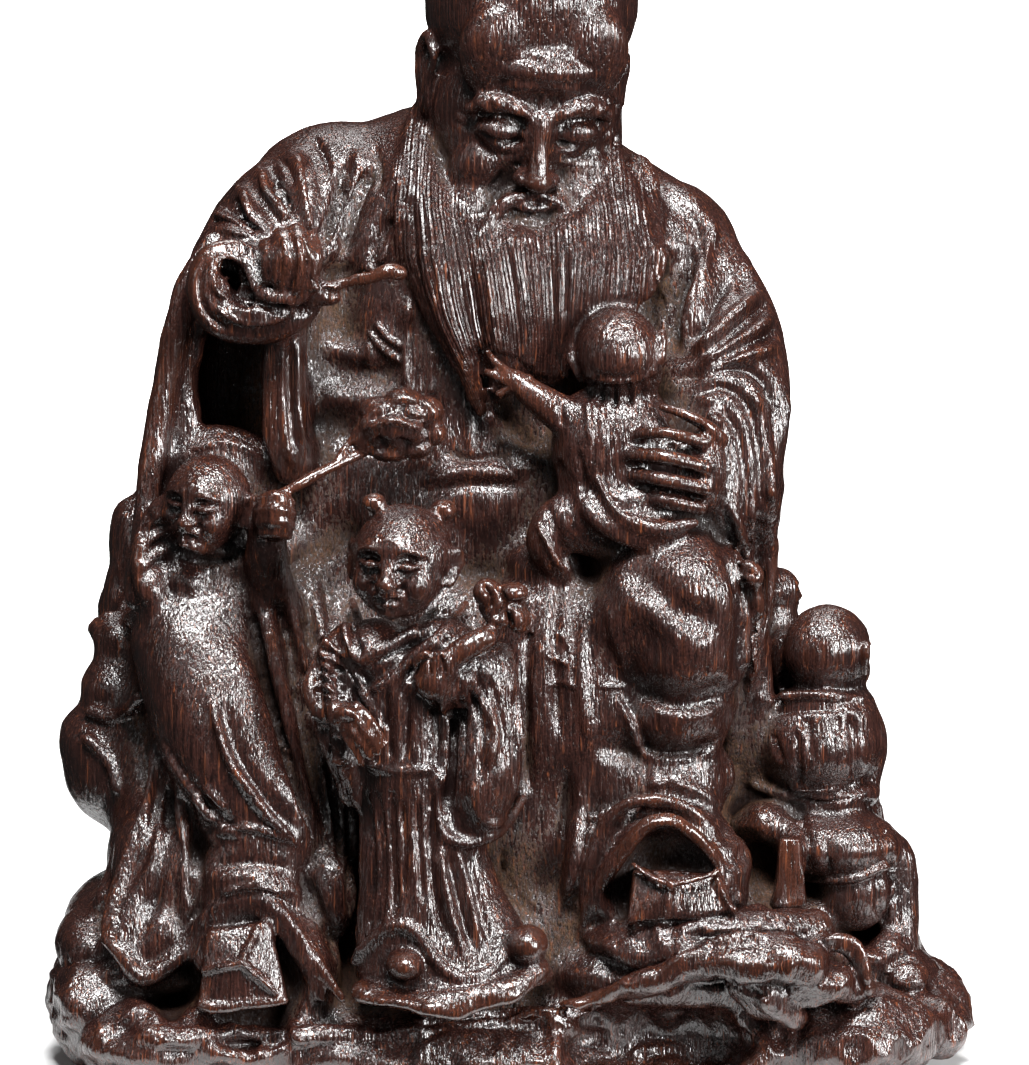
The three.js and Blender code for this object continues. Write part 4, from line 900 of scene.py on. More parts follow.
smallMasses = {
    "lumps": [
        # his raised fist, and the hand round the child
        ((-18.6, -14.8, 69.1), (2.5, 2, 2.9)), ((-16.8, -15.4, 66.9), (1.6, 1.5, 1.4)),
        ((-15.5, -15.6, 66.5), (1.2, 1.2, 0.8)), ((-24.5, -15.7, 67), (0.9, 0.7, 1.4)),
        ((16, -17, 52.1), (1.9, 2.4, 3.7)), ((13.9, -16.6, 52), (3, 2, 3)),
        # tufts, fists and ear lobes of the boys
        ((-11.6, -22.8, 50.2), (1.05, 1, 0.85)), ((-5.8, -21.6, 49.4), (1.15, 1.1, 0.9)),
        ((-6.5, -25.8, 35.7), (1.7, 1.5, 1.7)), ((-13.8, -25.4, 32.3), (1.3, 1.4, 1.5)),
        ((-19.9, -18.4, 48.4), (1.9, 1.7, 2)),
        # feet
        ((-9, -27, 12), (1.6, 2.2, 1.3)), ((1.2, -25.4, 13.4), (1.8, 2.2, 1.7)),
        # fungus cap
        ((-9.6, -15.4, 55.5), (3.6, 1.7, 2.4)), ((-11.3, -15.8, 57.1), (1.5, 1.5, 1.1)),
        ((-9.1, -16, 57.9), (1.7, 1.5, 1)), ((-7.1, -15.8, 56.9), (1.4, 1.5, 1.3)),
        ((-6.4, -15.8, 55.1), (1, 1.4, 1.1)), ((-8.2, -16, 53.9), (1.5, 1.4, 0.9)),
        ((-10.5, -16, 53.6), (1.5, 1.4, 0.9)), ((-12.3, -15.8, 54.7), (1.4, 1.5, 1.2)),
        ((-9.8, -16.8, 55.8), (3.1, 1.5, 2)), ((-10.8, -17, 55.4), (1, 0.9, 0.8)),
        ((-9, -17.2, 56.5), (1.2, 0.9, 0.7)), ((-9.5, -17, 54.9), (0.9, 0.8, 0.6)),
        # sceptre head
        ((-0.9, -24, 41.7), (2, 1.5, 1.8)), ((-2.2, -24.6, 43), (1.2, 1.3, 1.2)), ((0, -24.9, 42.9), (1.3, 1.3, 0.9)),
        ((0.5, -24.6, 40.6), (1, 1.3, 1.1)), ((-1.2, -24.8, 40.8), (0.9, 1.1, 1)),
        ((-0.7, -25, 41.8), (1.6, 0.9, 1.4)),
    ],
    "limbs": [
        # stick
        [(-16.3, -15.8, 67.2, 0.5), (-14, -16, 67.8, 0.45), (-12, -16.2, 68.2, 0.5), (-10.5, -16.2, 68.8, 0.62),
         (-9.5, -16, 68.6, 0.62)],
        # fingers of the raised fist
        [(-20.6, -16, 70.9, 0.75), (-20.3, -17.4, 70.1, 0.85), (-20.4, -17.2, 68.4, 0.7)],
        [(-19.4, -16.2, 71.8, 0.8), (-19, -18, 70.6, 0.88), (-19.4, -17.8, 68, 0.72)],
        [(-18.1, -16.2, 72.1, 0.82), (-17.7, -18.2, 70.7, 0.9), (-18, -18, 67.7, 0.74)],
        [(-16.9, -15.8, 71.6, 0.72), (-16.5, -17.4, 70.1, 0.82), (-16.9, -17.4, 67.6, 0.66)],
        [(-21, -16.8, 66.9, 0.75), (-19.1, -17.6, 66.5, 0.75), (-17.5, -17.2, 66.8, 0.6)],
        # fingers round the stem
        [(-21, -19.4, 49.9, 0.5), (-19.8, -20.2, 50.4, 0.58), (-18.6, -19.6, 49.8, 0.5)],
        [(-21.1, -19.6, 49, 0.5), (-19.8, -20.6, 49.4, 0.6), (-18.5, -19.6, 48.8, 0.5)],
        [(-21.1, -19.6, 48.1, 0.5), (-19.8, -20.6, 48.4, 0.6), (-18.5, -19.6, 47.8, 0.5)],
        [(-21, -19.4, 47.2, 0.45), (-19.8, -20.2, 47.4, 0.55), (-18.7, -19.4, 46.9, 0.45)],
        # fingers of his left hand
        [(9.9, -17.6, 55.1, 0.48), (12.5, -19.2, 55.6, 0.54), (15.9, -18.8, 54.7, 0.58)],
        [(9.5, -18, 53.6, 0.62), (12.4, -19.8, 53.6, 0.7), (16, -19.2, 52.7, 0.68)],
        [(9.9, -18, 51.9, 0.6), (12.5, -19.8, 51.7, 0.68), (16, -19.2, 50.9, 0.66)],
        [(10.5, -17.8, 50.2, 0.58), (12.9, -19.4, 49.9, 0.66), (15.7, -18.8, 49.2, 0.62)],
        [(12.4, -17.4, 57.5, 0.42), (14, -18.2, 57.1, 0.5), (16, -18.4, 56.1, 0.6), (17.4, -17.6, 54.7, 0.7)],
        # fingers on the beard
        [(0.2, -15.8, 59.7, 0.6), (-0.9, -16, 60.6, 0.42), (-2, -15.8, 61.6, 0.3)],
        [(0, -15.8, 59.6, 0.55), (-1.1, -16.2, 59.8, 0.42), (-2.2, -16, 60.3, 0.3)],
        [(0.2, -15.8, 59.2, 0.5), (-0.6, -16, 58.8, 0.36), (-1.3, -15.8, 58.4, 0.28)],
        # fungus stem
        [(-20.1, -19, 50, 0.46), (-18.1, -18.8, 51, 0.5), (-16.1, -18, 52.1, 0.5), (-14.1, -17, 52.9, 0.5),
         (-12.6, -16.4, 53.5, 0.5)],
        [(-15, -17.4, 52.5, 0.4), (-14.1, -16.8, 53.9, 0.3), (-13.5, -16.4, 54.7, 0.3)],
        # standing boy's fingers, sceptre and collar
        [(-13, -26, 33.7, 0.42), (-11.8, -27, 32.5, 0.42), (-10.6, -27, 30.6, 0.32)],
        [(-13.4, -26.4, 33, 0.42), (-12.2, -27.2, 31.7, 0.42), (-11.1, -27, 29.8, 0.32)],
        [(-13.8, -26.4, 32.3, 0.4), (-12.8, -27.1, 31, 0.4), (-11.8, -26.8, 29.3, 0.3)],
        [(-14.2, -26, 31.6, 0.38), (-13.4, -26.8, 30.3, 0.38), (-12.5, -26.4, 28.8, 0.3)],
        [(-14.8, -26, 32.3, 0.5), (-14.1, -26.8, 33.2, 0.5), (-13.2, -27, 33.1, 0.4)],
        [(-8, -26.4, 37.2, 0.45), (-7.1, -26.8, 38, 0.5), (-6.8, -27, 36.6, 0.45)],
        [(-6.8, -26.6, 37.4, 0.45), (-6, -27, 38, 0.5), (-5.6, -27, 36.6, 0.45)],
        [(-5.6, -26.2, 37.2, 0.42), (-5, -26.4, 37.4, 0.46), (-4.8, -26.4, 36.1, 0.4)],
        # rim of his boot
        [(10, -23.9, 19.9, 0.24), (11.4, -24.8, 19.1, 0.28), (13, -25.1, 18.5, 0.3), (15.5, -24.9, 18.9, 0.28),
         (17.2, -24.1, 19.5, 0.24)],
        [(-6.1, -26, 36.8, 1), (-4.3, -26, 38.2, 1.1), (-2.3, -25.6, 39.3, 1)],
        [(-2.5, -24.4, 38.9, 0.5), (-1.5, -24, 40.4, 0.5)],
    ],
}

drapedTrims = [
    # standing boy's collar, sleeve edges, belt and hem
    [(-13.5, 41.5, 0.4), (-12.6, 38.8, 0.5), (-12.6, 36.7, 0.4)],
    [(-6.5, 40.7, 0.4), (-8.8, 38.8, 0.45), (-11.5, 37.3, 0.45), (-13, 36.2, 0.35)],
    [(-4, 41.2, 0.4), (-6, 38.8, 0.45), (-8, 37.2, 0.45), (-9.6, 35.3, 0.4), (-11.6, 34.2, 0.35)],
    [(-12, 27.7, 0.3), (-9.5, 27.2, 0.35), (-6.6, 27.5, 0.3)],
    [(-13.3, 11.1, 0.45), (-12.5, 12.4, 0.5), (-10.6, 14, 0.5), (-8.9, 14.3, 0.5), (-7.5, 13, 0.5), (-6.2, 11.1, 0.5),
     (-4.5, 9.9, 0.5), (-2.6, 10.1, 0.5), (-1, 11.5, 0.45), (-0.4, 14.2, 0.4)],
    [(-6.3, 26.7, 0.4), (-6.3, 22.7, 0.5), (-4, 21.2, 0.55), (-1.1, 22.2, 0.5), (0.8, 24.8, 0.45)],
    [(-15.6, 38.2, 0.4), (-14.1, 36.3, 0.45), (-12.1, 33.2, 0.45), (-10.8, 30.5, 0.35)],
    # kneeling boy's hems and collar
    [(20.5, 25.7, 0.45), (23.9, 24.7, 0.5), (28, 24.5, 0.5), (30.5, 25.5, 0.4)],
    [(24.6, 17.8, 0.4), (28, 17.8, 0.45), (31.4, 18.8, 0.4)],
    [(23, 33.2, 0.4), (26.4, 33.3, 0.45), (29.5, 33, 0.4)],
    # front edge of the rock
    [(-17.8, 4.7, 0.7), (-14.6, 5.2, 0.8), (-8.5, 5.2, 0.9), (-6.1, 5.9, 1), (-0.3, 6.3, 1), (3.9, 6.2, 1.1),
     (5, 4.8, 1)],
    [(-30.6, 4.8, 0.8), (-27, 4.7, 0.8), (-22.8, 5, 0.8), (-19.1, 4.8, 0.7)],
    [(-34.6, 3.7, 0.5), (-34, 5.3, 0.6), (-32.3, 6.3, 0.6), (-30.6, 7.2, 0.5)],
    # rims of the rocks beside him
    [(-35.8, 32, 0.6), (-33.5, 31.5, 0.6), (-31.4, 33.3, 0.5)],
    [(-36, 29.6, 0.5), (-34.1, 27.7, 0.6), (-33.5, 25.4, 0.5)],
]

ledgeMasses = {
    "flatLimbs": {
        1.6: [
            [(4.4, -23, 7.8, 0.6), (8.2, -24, 8.9, 0.7), (11.8, -24.6, 10.2, 0.9), (14.7, -25, 11.7, 1.2),
             (18, -25.2, 12.1, 1.7), (21.8, -25.2, 12.1, 2), (24.4, -24.6, 11.8, 2)],
            [(19.3, -24.4, 10.2, 1.5), (21.5, -24.4, 8.7, 1.8), (23, -24, 7.4, 1.2)],
            [(24.9, -23.6, 13.2, 0.8), (27.6, -23, 12.9, 0.8), (29, -22.6, 11.5, 0.8), (29.5, -22.6, 9.5, 0.9)],
            [(23.9, -24, 9.7, 1.8), (26.8, -23.4, 10.1, 1.6), (28.2, -22.8, 8.7, 1.2)],
        ],
        2.2: [
            [(10.5, -22, 14, 1), (15.5, -22.6, 14.5, 1.2), (20.5, -22, 14.6, 1.2), (25.5, -20.6, 14.3, 1.2)],
            [(-12.6, -25.6, 9.5, 0.9), (-8.6, -26.4, 8.9, 1.1), (-4.5, -26.6, 9.3, 1.2), (-0.3, -26, 10.2, 1.1),
             (2.2, -25, 11.4, 0.9)],
        ],
    },
    "lumps": [
        ((-4.9, -22, 10.3), (8.4, 6, 1.6)), ((14.7, -19, 12.8), (9, 7, 2.4)),
        ((-35.3, -16, 6.9), (3.4, 5, 3.4)), ((-35.8, -11, 11.2), (3, 6, 3)),
        ((36, -10, 5.9), (2, 5, 1.3)), ((36, -10, 3.8), (2.7, 6, 2.6)), ((33.5, -9, 8), (2.3, 5, 1.6)),
    ],
}


shoeLean = 1.2  # how far the top of a shoe's front leans back
shoes = [  # four seen corners, the depths of front and back, and the apex: its place across and up, and its height
    ([(-26.3, 7.2), (-18.8, 7.8), (-20.3, 14.5), (-25.5, 13.8)], -25.2, -16, (0.5, 0.58, 1)),
    ([(9.5, 14.3), (18.7, 14.8), (17.4, 18.5), (10, 18.8)], -24.8, -16, (0.36, 0.6, 0.8)),
    ([(21.9, 15.5), (24.7, 15.5), (24.2, 21.3), (22.4, 21.3)], -16, -12),
]


def addShoe(corners, front, back, apex=None):
    # a blunt shoe: a bevelled block whose front is laid on four seen corners, with an apex that stands out
    bpy.ops.mesh.primitive_grid_add(x_subdivisions=8, y_subdivisions=8, size=2)
    bpy.ops.object.mode_set(mode="EDIT")
    bpy.ops.mesh.select_all(action="SELECT")
    bpy.ops.mesh.extrude_region_move(TRANSFORM_OT_translate={"value": (0, 0, 1)})
    bpy.ops.mesh.select_all(action="SELECT")
    bpy.ops.mesh.normals_make_consistent(inside=False)
    bpy.ops.object.mode_set(mode="OBJECT")
    block = bpy.context.object
    co = readCoords(block) * unit
    u, v, w = (co[:, 0] + 1) / 2, (co[:, 1] + 1) / 2, co[:, 2]
    (xa, za), (xb, zb), (xc, zc), (xd, zd) = corners
    x = (1 - v) * ((1 - u) * xa + u * xb) + v * ((1 - u) * xd + u * xc)
    z = (1 - v) * ((1 - u) * za + u * zb) + v * ((1 - u) * zd + u * zc)
    y = front + (back - front) * w
    if apex:
        riseAcross = np.minimum(u / apex[0], (1 - u) / (1 - apex[0]))
        riseUp = np.minimum(v / apex[1], (1 - v) / (1 - apex[1]))
        rise = np.minimum(riseAcross, riseUp)
        y = y - apex[2] * rise * (1 - w) + shoeLean * v * (1 - w)
    z = z - seenTilt * (y - seenPlane)
    writeCoords(block, np.stack([x, y, z], 1))
    workPile.append(block)


front = frontDepth(carving)
addMasses(smallMasses)
addMasses(ledgeMasses)
addDraped(front, drapedTrims)
for shoe in shoes:
    addShoe(*shoe)
addHeadLumps(elder, elder["place"], "features")
addHeadStrands(elder, elder["place"])
for place in boys.values():
    addHeadLumps(boyHead, place, "features")
    addHeadStrands(boyHead, place)
carving = fuse(carving, "details")
scoop(carving, [((13.5, -23.8, 19.9), (2.9, 1, 1)), ((-23, -16.2, 67.7), (0.75, 1.8, 1.6))])
drawFace(carving, elder, elder["place"])
for place in boys.values():
    drawFace(carving, boyHead, place)

fineStrokes = [
    # between the fingers
    ("groove", 0.22, 0.5, [(9.7, 54.7), (12.5, 54.7), (15.9, 53.9)]),
    ("groove", 0.22, 0.6, [(9.5, 53), (12.5, 52.8), (15.9, 51.9)]),
    ("groove", 0.22, 0.6, [(10, 51.2), (12.7, 50.8), (15.9, 50.1)]),
    ("groove", 0.25, 0.6, [(12.9, 56.7), (14.7, 56.3), (16, 55.8)]),
    ("groove", 0.2, 0.4, [(-19.6, 72), (-19.4, 69.8), (-19.9, 67.3)]),
    ("groove", 0.2, 0.5, [(-18.6, 72.3), (-18.2, 70), (-18.6, 67.2)]),
    ("groove", 0.2, 0.4, [(-17.5, 72), (-17, 69.8), (-17.4, 67.2)]),
    # standing boy's robe
    ("groove", 0.3, 0.5, [(-12.3, 25.7), (-11.8, 20.3), (-12, 15), (-12.8, 12.1)]),
    ("groove", 0.3, 0.5, [(-11.3, 25.7), (-10.8, 20.3), (-11, 15.4), (-11.6, 13.3)]),
    ("ridge", 0.3, 0.4, [(-12.9, 25.8), (-12.8, 20.8), (-13.3, 15), (-13.2, 11.7)]),
    ("groove", 0.35, 0.6, [(-10.1, 25.8), (-10, 20.8), (-9.8, 16.7), (-10.1, 14.6)]),
    ("groove", 0.4, 0.7, [(-6.8, 25.8), (-6.7, 20.2), (-6.1, 15.5), (-4.9, 12.5)]),
    ("ridge", 0.35, 0.5, [(-6.1, 20.8), (-5.5, 16.7), (-4.1, 11.7)]),
    ("groove", 0.35, 0.6, [(-5.4, 20.8), (-4.5, 16.7), (-3.3, 12.1)]),
    ("ridge", 0.35, 0.4, [(-4.6, 20.7), (-3.6, 16.2), (-2.6, 12.1)]),
    ("groove", 0.3, 0.4, [(-3.8, 20.4), (-2.8, 16.2), (-2, 12.9)]),
    ("groove", 0.35, 0.5, [(-1.1, 20.8), (-0.6, 17.5), (2.2, 14.6)]),
    ("groove", 0.25, 0.5, [(-9.3, 25), (-9, 20.8), (-9.1, 16.7)]),
    ("groove", 0.25, 0.5, [(-8, 25), (-7.8, 20.8), (-7.5, 16.2)]),
    ("ridge", 0.25, 0.5, [(-13.5, 41.7), (-14, 39.2), (-13, 36.3)]),
    ("groove", 0.25, 0.6, [(-13, 41.3), (-13.3, 39), (-12.6, 36.8)]),
    ("groove", 0.25, 0.6, [(-5.1, 40.8), (-7.3, 38.8), (-9.8, 37.2), (-11.8, 36)]),
    ("groove", 0.25, 0.6, [(-3.6, 40.7), (-5.5, 38.3), (-7.5, 36.5), (-9, 34.8)]),
    ("groove", 0.3, 0.5, [(-10.6, 34.2), (-10.5, 30.8), (-10.1, 28)]),
    ("groove", 0.3, 0.5, [(-8.6, 34.2), (-8.8, 30.8), (-9, 28)]),
    ("groove", 0.25, 0.5, [(-16.3, 37.5), (-15, 37.2), (-13.6, 36)]),
    ("groove", 0.25, 0.5, [(-16.6, 35.8), (-15.3, 35.6), (-13.9, 34.5)]),
    ("groove", 0.25, 0.5, [(-16.6, 34), (-15.3, 33.8), (-14, 33.2)]),
    ("ridge", 0.25, 0.5, [(-15.3, 30.5), (-15, 28.3), (-12.6, 27.8)]),
    ("groove", 0.25, 0.5, [(-15.3, 27.1), (-14.8, 23.3), (-14.3, 19.2)]),
    ("groove", 0.3, 0.6, [(-14, 26.7), (-13.6, 20.8), (-13.6, 14.2)]),
    # its long sleeve
    ("groove", 0.25, 0.5, [(-4.3, 35.4), (-4.2, 30), (-4.6, 25)]),
    ("groove", 0.25, 0.5, [(-3, 36.2), (-2.3, 33.3), (-1.8, 29.2)]),
    ("groove", 0.25, 0.5, [(-0.5, 35), (0, 30.8), (0.2, 25.8)]),
    ("ridge", 0.25, 0.5, [(-6, 34.2), (-5.6, 30), (-6, 25.8)]),
    ("groove", 0.35, 0.6, [(-4.9, 33.3), (-5.1, 28.3), (-5.5, 23.8)]),
    ("groove", 0.3, 0.5, [(-3.7, 34.6), (-2.5, 30.8), (-2.8, 26.7)]),
    ("ridge", 0.3, 0.5, [(-3, 34.2), (-1.6, 30.8), (-2, 27.5)]),
    ("groove", 0.3, 0.5, [(-2.1, 35), (-0.9, 31.7), (-0.6, 28.3)]),
    ("ridge", 0.3, 0.4, [(-3.3, 26.7), (-3.1, 24.2), (-1.9, 22.8), (-0.5, 23.5)]),
    ("groove", 0.35, 0.6, [(0.1, 34.2), (0.9, 30), (1, 25.8)]),
    ("groove", 0.35, 0.5, [(-6.5, 32.9), (-6.1, 29.2), (-6.4, 27.1)]),
    # his right sleeve
    ("groove", 0.25, 0.5, [(-16.5, 36.7), (-15.1, 36.3), (-14, 35.2)]),
    ("groove", 0.25, 0.5, [(-16.5, 35), (-15.1, 34.7), (-13.8, 33.8)]),
    ("groove", 0.25, 0.5, [(-16.3, 33.3), (-15.1, 33.2)]),
    ("groove", 0.3, 0.5, [(-15.3, 37.5), (-13.8, 35.7), (-12.6, 33.5)]),
    # kneeling boy
    ("groove", 0.3, 0.4, [(21.4, 31.7), (23.9, 32.2), (28, 32.3)]),
    ("groove", 0.25, 0.4, [(24, 28.3), (24.2, 25.8)]),
    ("groove", 0.4, 0.6, [(28.5, 32), (29, 29.2), (28.9, 25.8)]),
    ("groove", 0.4, 0.6, [(23.9, 23.7), (24.9, 20.8), (24.9, 18.3)]),
    ("groove", 0.3, 0.4, [(29.7, 24.5), (31.2, 22.8), (31.7, 20.8)]),
    # hair of the child in arms
    *[("groove", 0.22, 0.28, [(8.9 + a, 60.7), (8.9 + 1.35 * a, 58.5)]) for a in np.linspace(-2.8, 2.8, 12)],
    # shoulder and sleeve
    ("ridge", 0.3, 0.6, [(-22.8, 76.5), (-22.3, 75), (-21.6, 73.7), (-20.6, 72.5)]),
    ("groove", 0.3, 0.5, [(-23.5, 75.7), (-22.6, 73.8), (-21.6, 72.5)]),
    ("ridge", 0.25, 0.5, [(-25.6, 72.9), (-24, 72.8), (-22.1, 72.2)]),
    ("groove", 0.3, 0.5, [(-25.9, 73.8), (-24, 73.8), (-22.3, 73.2)]),
    ("ridge", 0.3, 0.7, [(-21.1, 78.2), (-20.7, 76.3), (-19.8, 75), (-18.9, 73.5)]),
    ("groove", 0.35, 0.7, [(-20.5, 77.8), (-19.5, 76), (-18.8, 74.5)]),
    ("ridge", 0.3, 0.6, [(-18.3, 79.6), (-17.6, 76.2), (-17.1, 72.7)]),
    ("groove", 0.25, 0.6, [(-17.5, 78.8), (-16.9, 75.4), (-16.7, 71.8)]),
    ("groove", 0.35, 0.9, [(-13.3, 78.8), (-14.5, 75.8), (-15.6, 72.9), (-16.2, 71.3)]),
    ("groove", 0.3, 0.7, [(-12.3, 78.2), (-13.5, 75), (-14.7, 71.7)]),
    ("ridge", 0.3, 0.7, [(-9.1, 75), (-10.4, 72.4), (-11.3, 70.2), (-13.6, 68.6)]),
    ("groove", 0.3, 0.5, [(-9.8, 74.2), (-11, 71.7), (-12.1, 69.7)]),
    ("groove", 0.3, 0.5, [(-17, 81), (-16, 79.6), (-15.3, 77.5)]),
    ("groove", 0.3, 0.5, [(-11.8, 80.2), (-11.3, 78.3), (-11.6, 76.2)]),
    ("groove", 0.3, 0.4, [(-19.8, 79.3), (-19, 78.3), (-18.5, 76.7)]),
    ("groove", 0.25, 0.5, [(-25.6, 69.8), (-26.2, 67.9), (-25.6, 65.8), (-23.8, 64.3)]),
    ("ridge", 0.25, 0.5, [(-24.8, 66.2), (-23.1, 65.2), (-21, 65), (-18.5, 65.7)]),
    ("groove", 0.45, 1.7, [(-24.3, 70.2), (-23.3, 69), (-22.6, 67.8), (-22, 66.3)]),
    ("ridge", 0.3, 0.5, [(-25.1, 69.3), (-24.8, 67.8), (-23.8, 66.7)]),
    ("groove", 0.25, 0.5, [(-21.5, 66.7), (-20.3, 66.2), (-18.6, 66.2)]),
    ("ridge", 0.25, 0.5, [(-16.8, 67.8), (-15.6, 68), (-14.5, 68)]),
    # fungus and sceptre
    ("ridge", 0.25, 0.2, [(-13.5, 55.2), (-12.3, 54.2), (-10.1, 53.8), (-7.8, 54.2), (-6.3, 55.2)]),
    ("ridge", 0.25, 0.2, [(-13.1, 56.3), (-11.6, 57.4), (-9.8, 58.4), (-7.8, 58.4), (-6.3, 57.2)]),
    ("ridge", 0.2, 0.5, [(-12.5, 56), (-10.1, 56.7), (-7.8, 56)]),
    ("groove", 0.3, 0.3, [(-12.1, 56.7), (-10.5, 57.4), (-9.3, 57.5)]),
    ("groove", 0.25, 0.6, [(-9.3, 58.3), (-9, 57.2), (-7.1, 56.7)]),
    ("groove", 0.3, 0.5, [(-11.5, 55.3), (-11, 54.8), (-10.6, 55)]),
    ("groove", 0.3, 0.5, [(-9.6, 55.2), (-9.1, 54.7), (-8.6, 54.9)]),
    ("groove", 0.3, 0.8, [(-7.5, 55.3), (-7, 56), (-7.3, 56.7)]),
    ("groove", 0.2, 0.6, [(-2.6, 43), (-1.8, 42), (-2.1, 40.7)]),
    ("groove", 0.2, 0.6, [(-1.1, 42.7), (-0.8, 41.3), (-1.5, 40)]),
    ("groove", 0.2, 0.6, [(-0.3, 41.3), (0.9, 41.2)]),
    ("groove", 0.2, 0.6, [(-0.5, 40.7), (-0.1, 39.3)]),
    ("groove", 0.2, 0.6, [(-7, 37.2), (-6.9, 35.2)]),
    ("groove", 0.2, 0.6, [(-5.9, 37.2), (-5.7, 35.2)]),
    # hair of the smallest boy
    ("ridge", 0.25, 0.3, [(5.4, 61.2), (6.9, 60.2), (9, 59.9), (11.2, 60.4), (12.5, 61.7)]),
    ("groove", 0.2, 0.5, [(5.9, 60.5), (5.4, 59.7), (5.2, 58.6)]),
    ("groove", 0.2, 0.5, [(6.7, 60.2), (6.3, 59.2), (6.2, 58.1)]),
    ("groove", 0.2, 0.5, [(7.6, 59.9), (7.4, 58.9), (7.4, 57.8)]),
    ("groove", 0.2, 0.5, [(8.6, 59.8), (8.5, 58.8), (8.5, 57.7)]),
    ("groove", 0.2, 0.5, [(9.6, 59.9), (9.7, 58.9), (9.9, 57.9)]),
    ("groove", 0.2, 0.5, [(10.6, 60.2), (10.9, 59.2), (11.2, 58.3)]),
    ("groove", 0.2, 0.5, [(11.5, 60.6), (12, 59.8), (12.4, 59.1)]),
    # chest and belly
    ("ridge", 0.2, 0.4, [(-12.3, 64.5), (-11, 62.9), (-9, 61.6)]),
    ("ridge", 0.2, 0.4, [(-11.6, 65.2), (-10.5, 63.8), (-9, 62.9)]),
    ("ridge", 0.2, 0.4, [(-12.2, 63.5), (-12, 62.3), (-12.1, 61.2)]),
    ("ridge", 0.2, 0.4, [(-8.7, 67.1), (-9, 62.9), (-9.1, 58.5)]),
    ("ridge", 0.2, 0.35, [(-6.8, 63.3), (-6.9, 60.4), (-6.8, 58.2)]),
    ("ridge", 0.25, 0.4, [(-3.7, 61.7), (-3.6, 57.9), (-3.6, 54)]),
    ("groove", 0.3, 0.5, [(-5.8, 54.2), (-3.6, 53.5), (-0.5, 54)]),
    ("groove", 0.3, 0.4, [(-1.1, 55), (-0.8, 53.3), (0.5, 52)]),
    # child in arms
    ("groove", 0.3, 0.5, [(2.6, 50.2), (3.9, 46.7), (5, 43.5)]),
    ("ridge", 0.25, 0.5, [(2, 48.2), (3.4, 45.3), (4.7, 43.3)]),
    ("groove", 0.25, 0.4, [(3.9, 58.7), (4.1, 56.2)]),
    ("ridge", 0.2, 0.35, [(6.2, 58.5), (6.4, 55)]),
    ("ridge", 0.2, 0.35, [(7.4, 58.7), (7.5, 54.2)]),
    ("groove", 0.25, 0.5, [(5.4, 54.2), (5.9, 51.8), (5.8, 50)]),
    ("groove", 0.3, 0.5, [(7.2, 52.5), (8.2, 50.4), (10, 48.9)]),
    # boy with the fungus
    ("ridge", 0.3, 0.3, [(-28.5, 53.5), (-25, 54.9), (-22.1, 54.2), (-20.1, 52.2), (-19.4, 51.2)]),
    ("groove", 0.35, 0.6, [(-28, 45.7), (-25.5, 44.8), (-22.8, 45.2)]),
    ("ridge", 0.3, 0.5, [(-28.3, 46.6), (-25.7, 45.9), (-22.6, 46.1)]),
    ("groove", 0.3, 0.5, [(-30.3, 49), (-31.3, 47.1)]),
    # left leg
    ("ridge", 0.3, 0.5, [(-26.7, 25.2), (-25.1, 22.8)]),
    ("ridge", 0.3, 0.5, [(-25.8, 26), (-23.9, 24)]),
    ("ridge", 0.3, 0.5, [(-25, 21.8), (-22, 22.4), (-18.5, 21.4)]),
    ("ridge", 0.3, 0.5, [(-24.6, 16.9), (-21.5, 17.6), (-18.8, 16.8)]),
    ("groove", 0.25, 0.4, [(-21, 36.3), (-19.8, 31.7), (-18.6, 27.1)]),
    ("ridge", 0.25, 0.4, [(-25.3, 34.2), (-24.5, 30.3), (-23.5, 27.7), (-21.9, 25.4), (-20.3, 23.2), (-17.6, 20.5)]),
    # robe at his left
    ("ridge", 0.35, 0.7, [(18.1, 50), (19.6, 45), (20.3, 40), (20.2, 33.3)]),
    ("groove", 0.3, 0.6, [(17.4, 49.5), (18.9, 45), (19.5, 41.3)]),
    ("groove", 0.25, 0.5, [(12.2, 71.7), (12.5, 67.5), (13.4, 64.2)]),
    ("groove", 0.25, 0.4, [(15.5, 73.8), (15.9, 70), (15.5, 66.7)]),
    # skirt
    ("groove", 0.4, 0.5, [(3.9, 43.3), (3.5, 37.5), (3.9, 30)]),
    ("ridge", 0.5, 0.4, [(6, 41.7), (5.7, 35), (6.5, 28.8)]),
    ("groove", 0.4, 0.5, [(1.4, 41.7), (1, 33.3), (1.4, 25)]),
    ("groove", 0.4, 0.6, [(4.5, 27.5), (4.1, 22.5), (3.2, 16.2)]),
    ("ridge", 0.4, 0.5, [(5.7, 27.1), (5.5, 22.1), (4.4, 15.4)]),
    ("groove", 0.35, 0.6, [(7.5, 25), (5.9, 20.8), (4.7, 14.6)]),
    # shoes
    ("ridge", 0.28, 0.6, [(-21, 14.5), (-21.9, 12.7), (-22.5, 11.2), (-21, 9.7), (-19.4, 8.1)]),
    ("ridge", 0.28, 0.6, [(-26.1, 10.3), (-24.1, 10.8), (-22, 11.2)]),
    ("ridge", 0.28, 0.5, [(-26.5, 7.4), (-22.6, 7.6), (-18.6, 8)]),
    ("ridge", 0.28, 0.5, [(13.2, 18.2), (12.9, 16.3), (12.5, 14.5)]),
    ("ridge", 0.25, 0.5, [(16.7, 18.7), (17.5, 16.7), (18.6, 15)]),
    ("groove", 0.25, 0.5, [(9.5, 14.2), (13.9, 14.5), (18.9, 15.2)]),
    # rock and plinth
    ("ridge", 0.35, 0.6, [(-13.6, 8.3), (-9.5, 7.8), (-5, 7.4), (-1.1, 8.2), (2.7, 9.6)]),
    ("groove", 0.4, 0.6, [(-13.3, 7.1), (-9.5, 6.5), (-5, 6.2), (-1.1, 7), (2.6, 8.5)]),
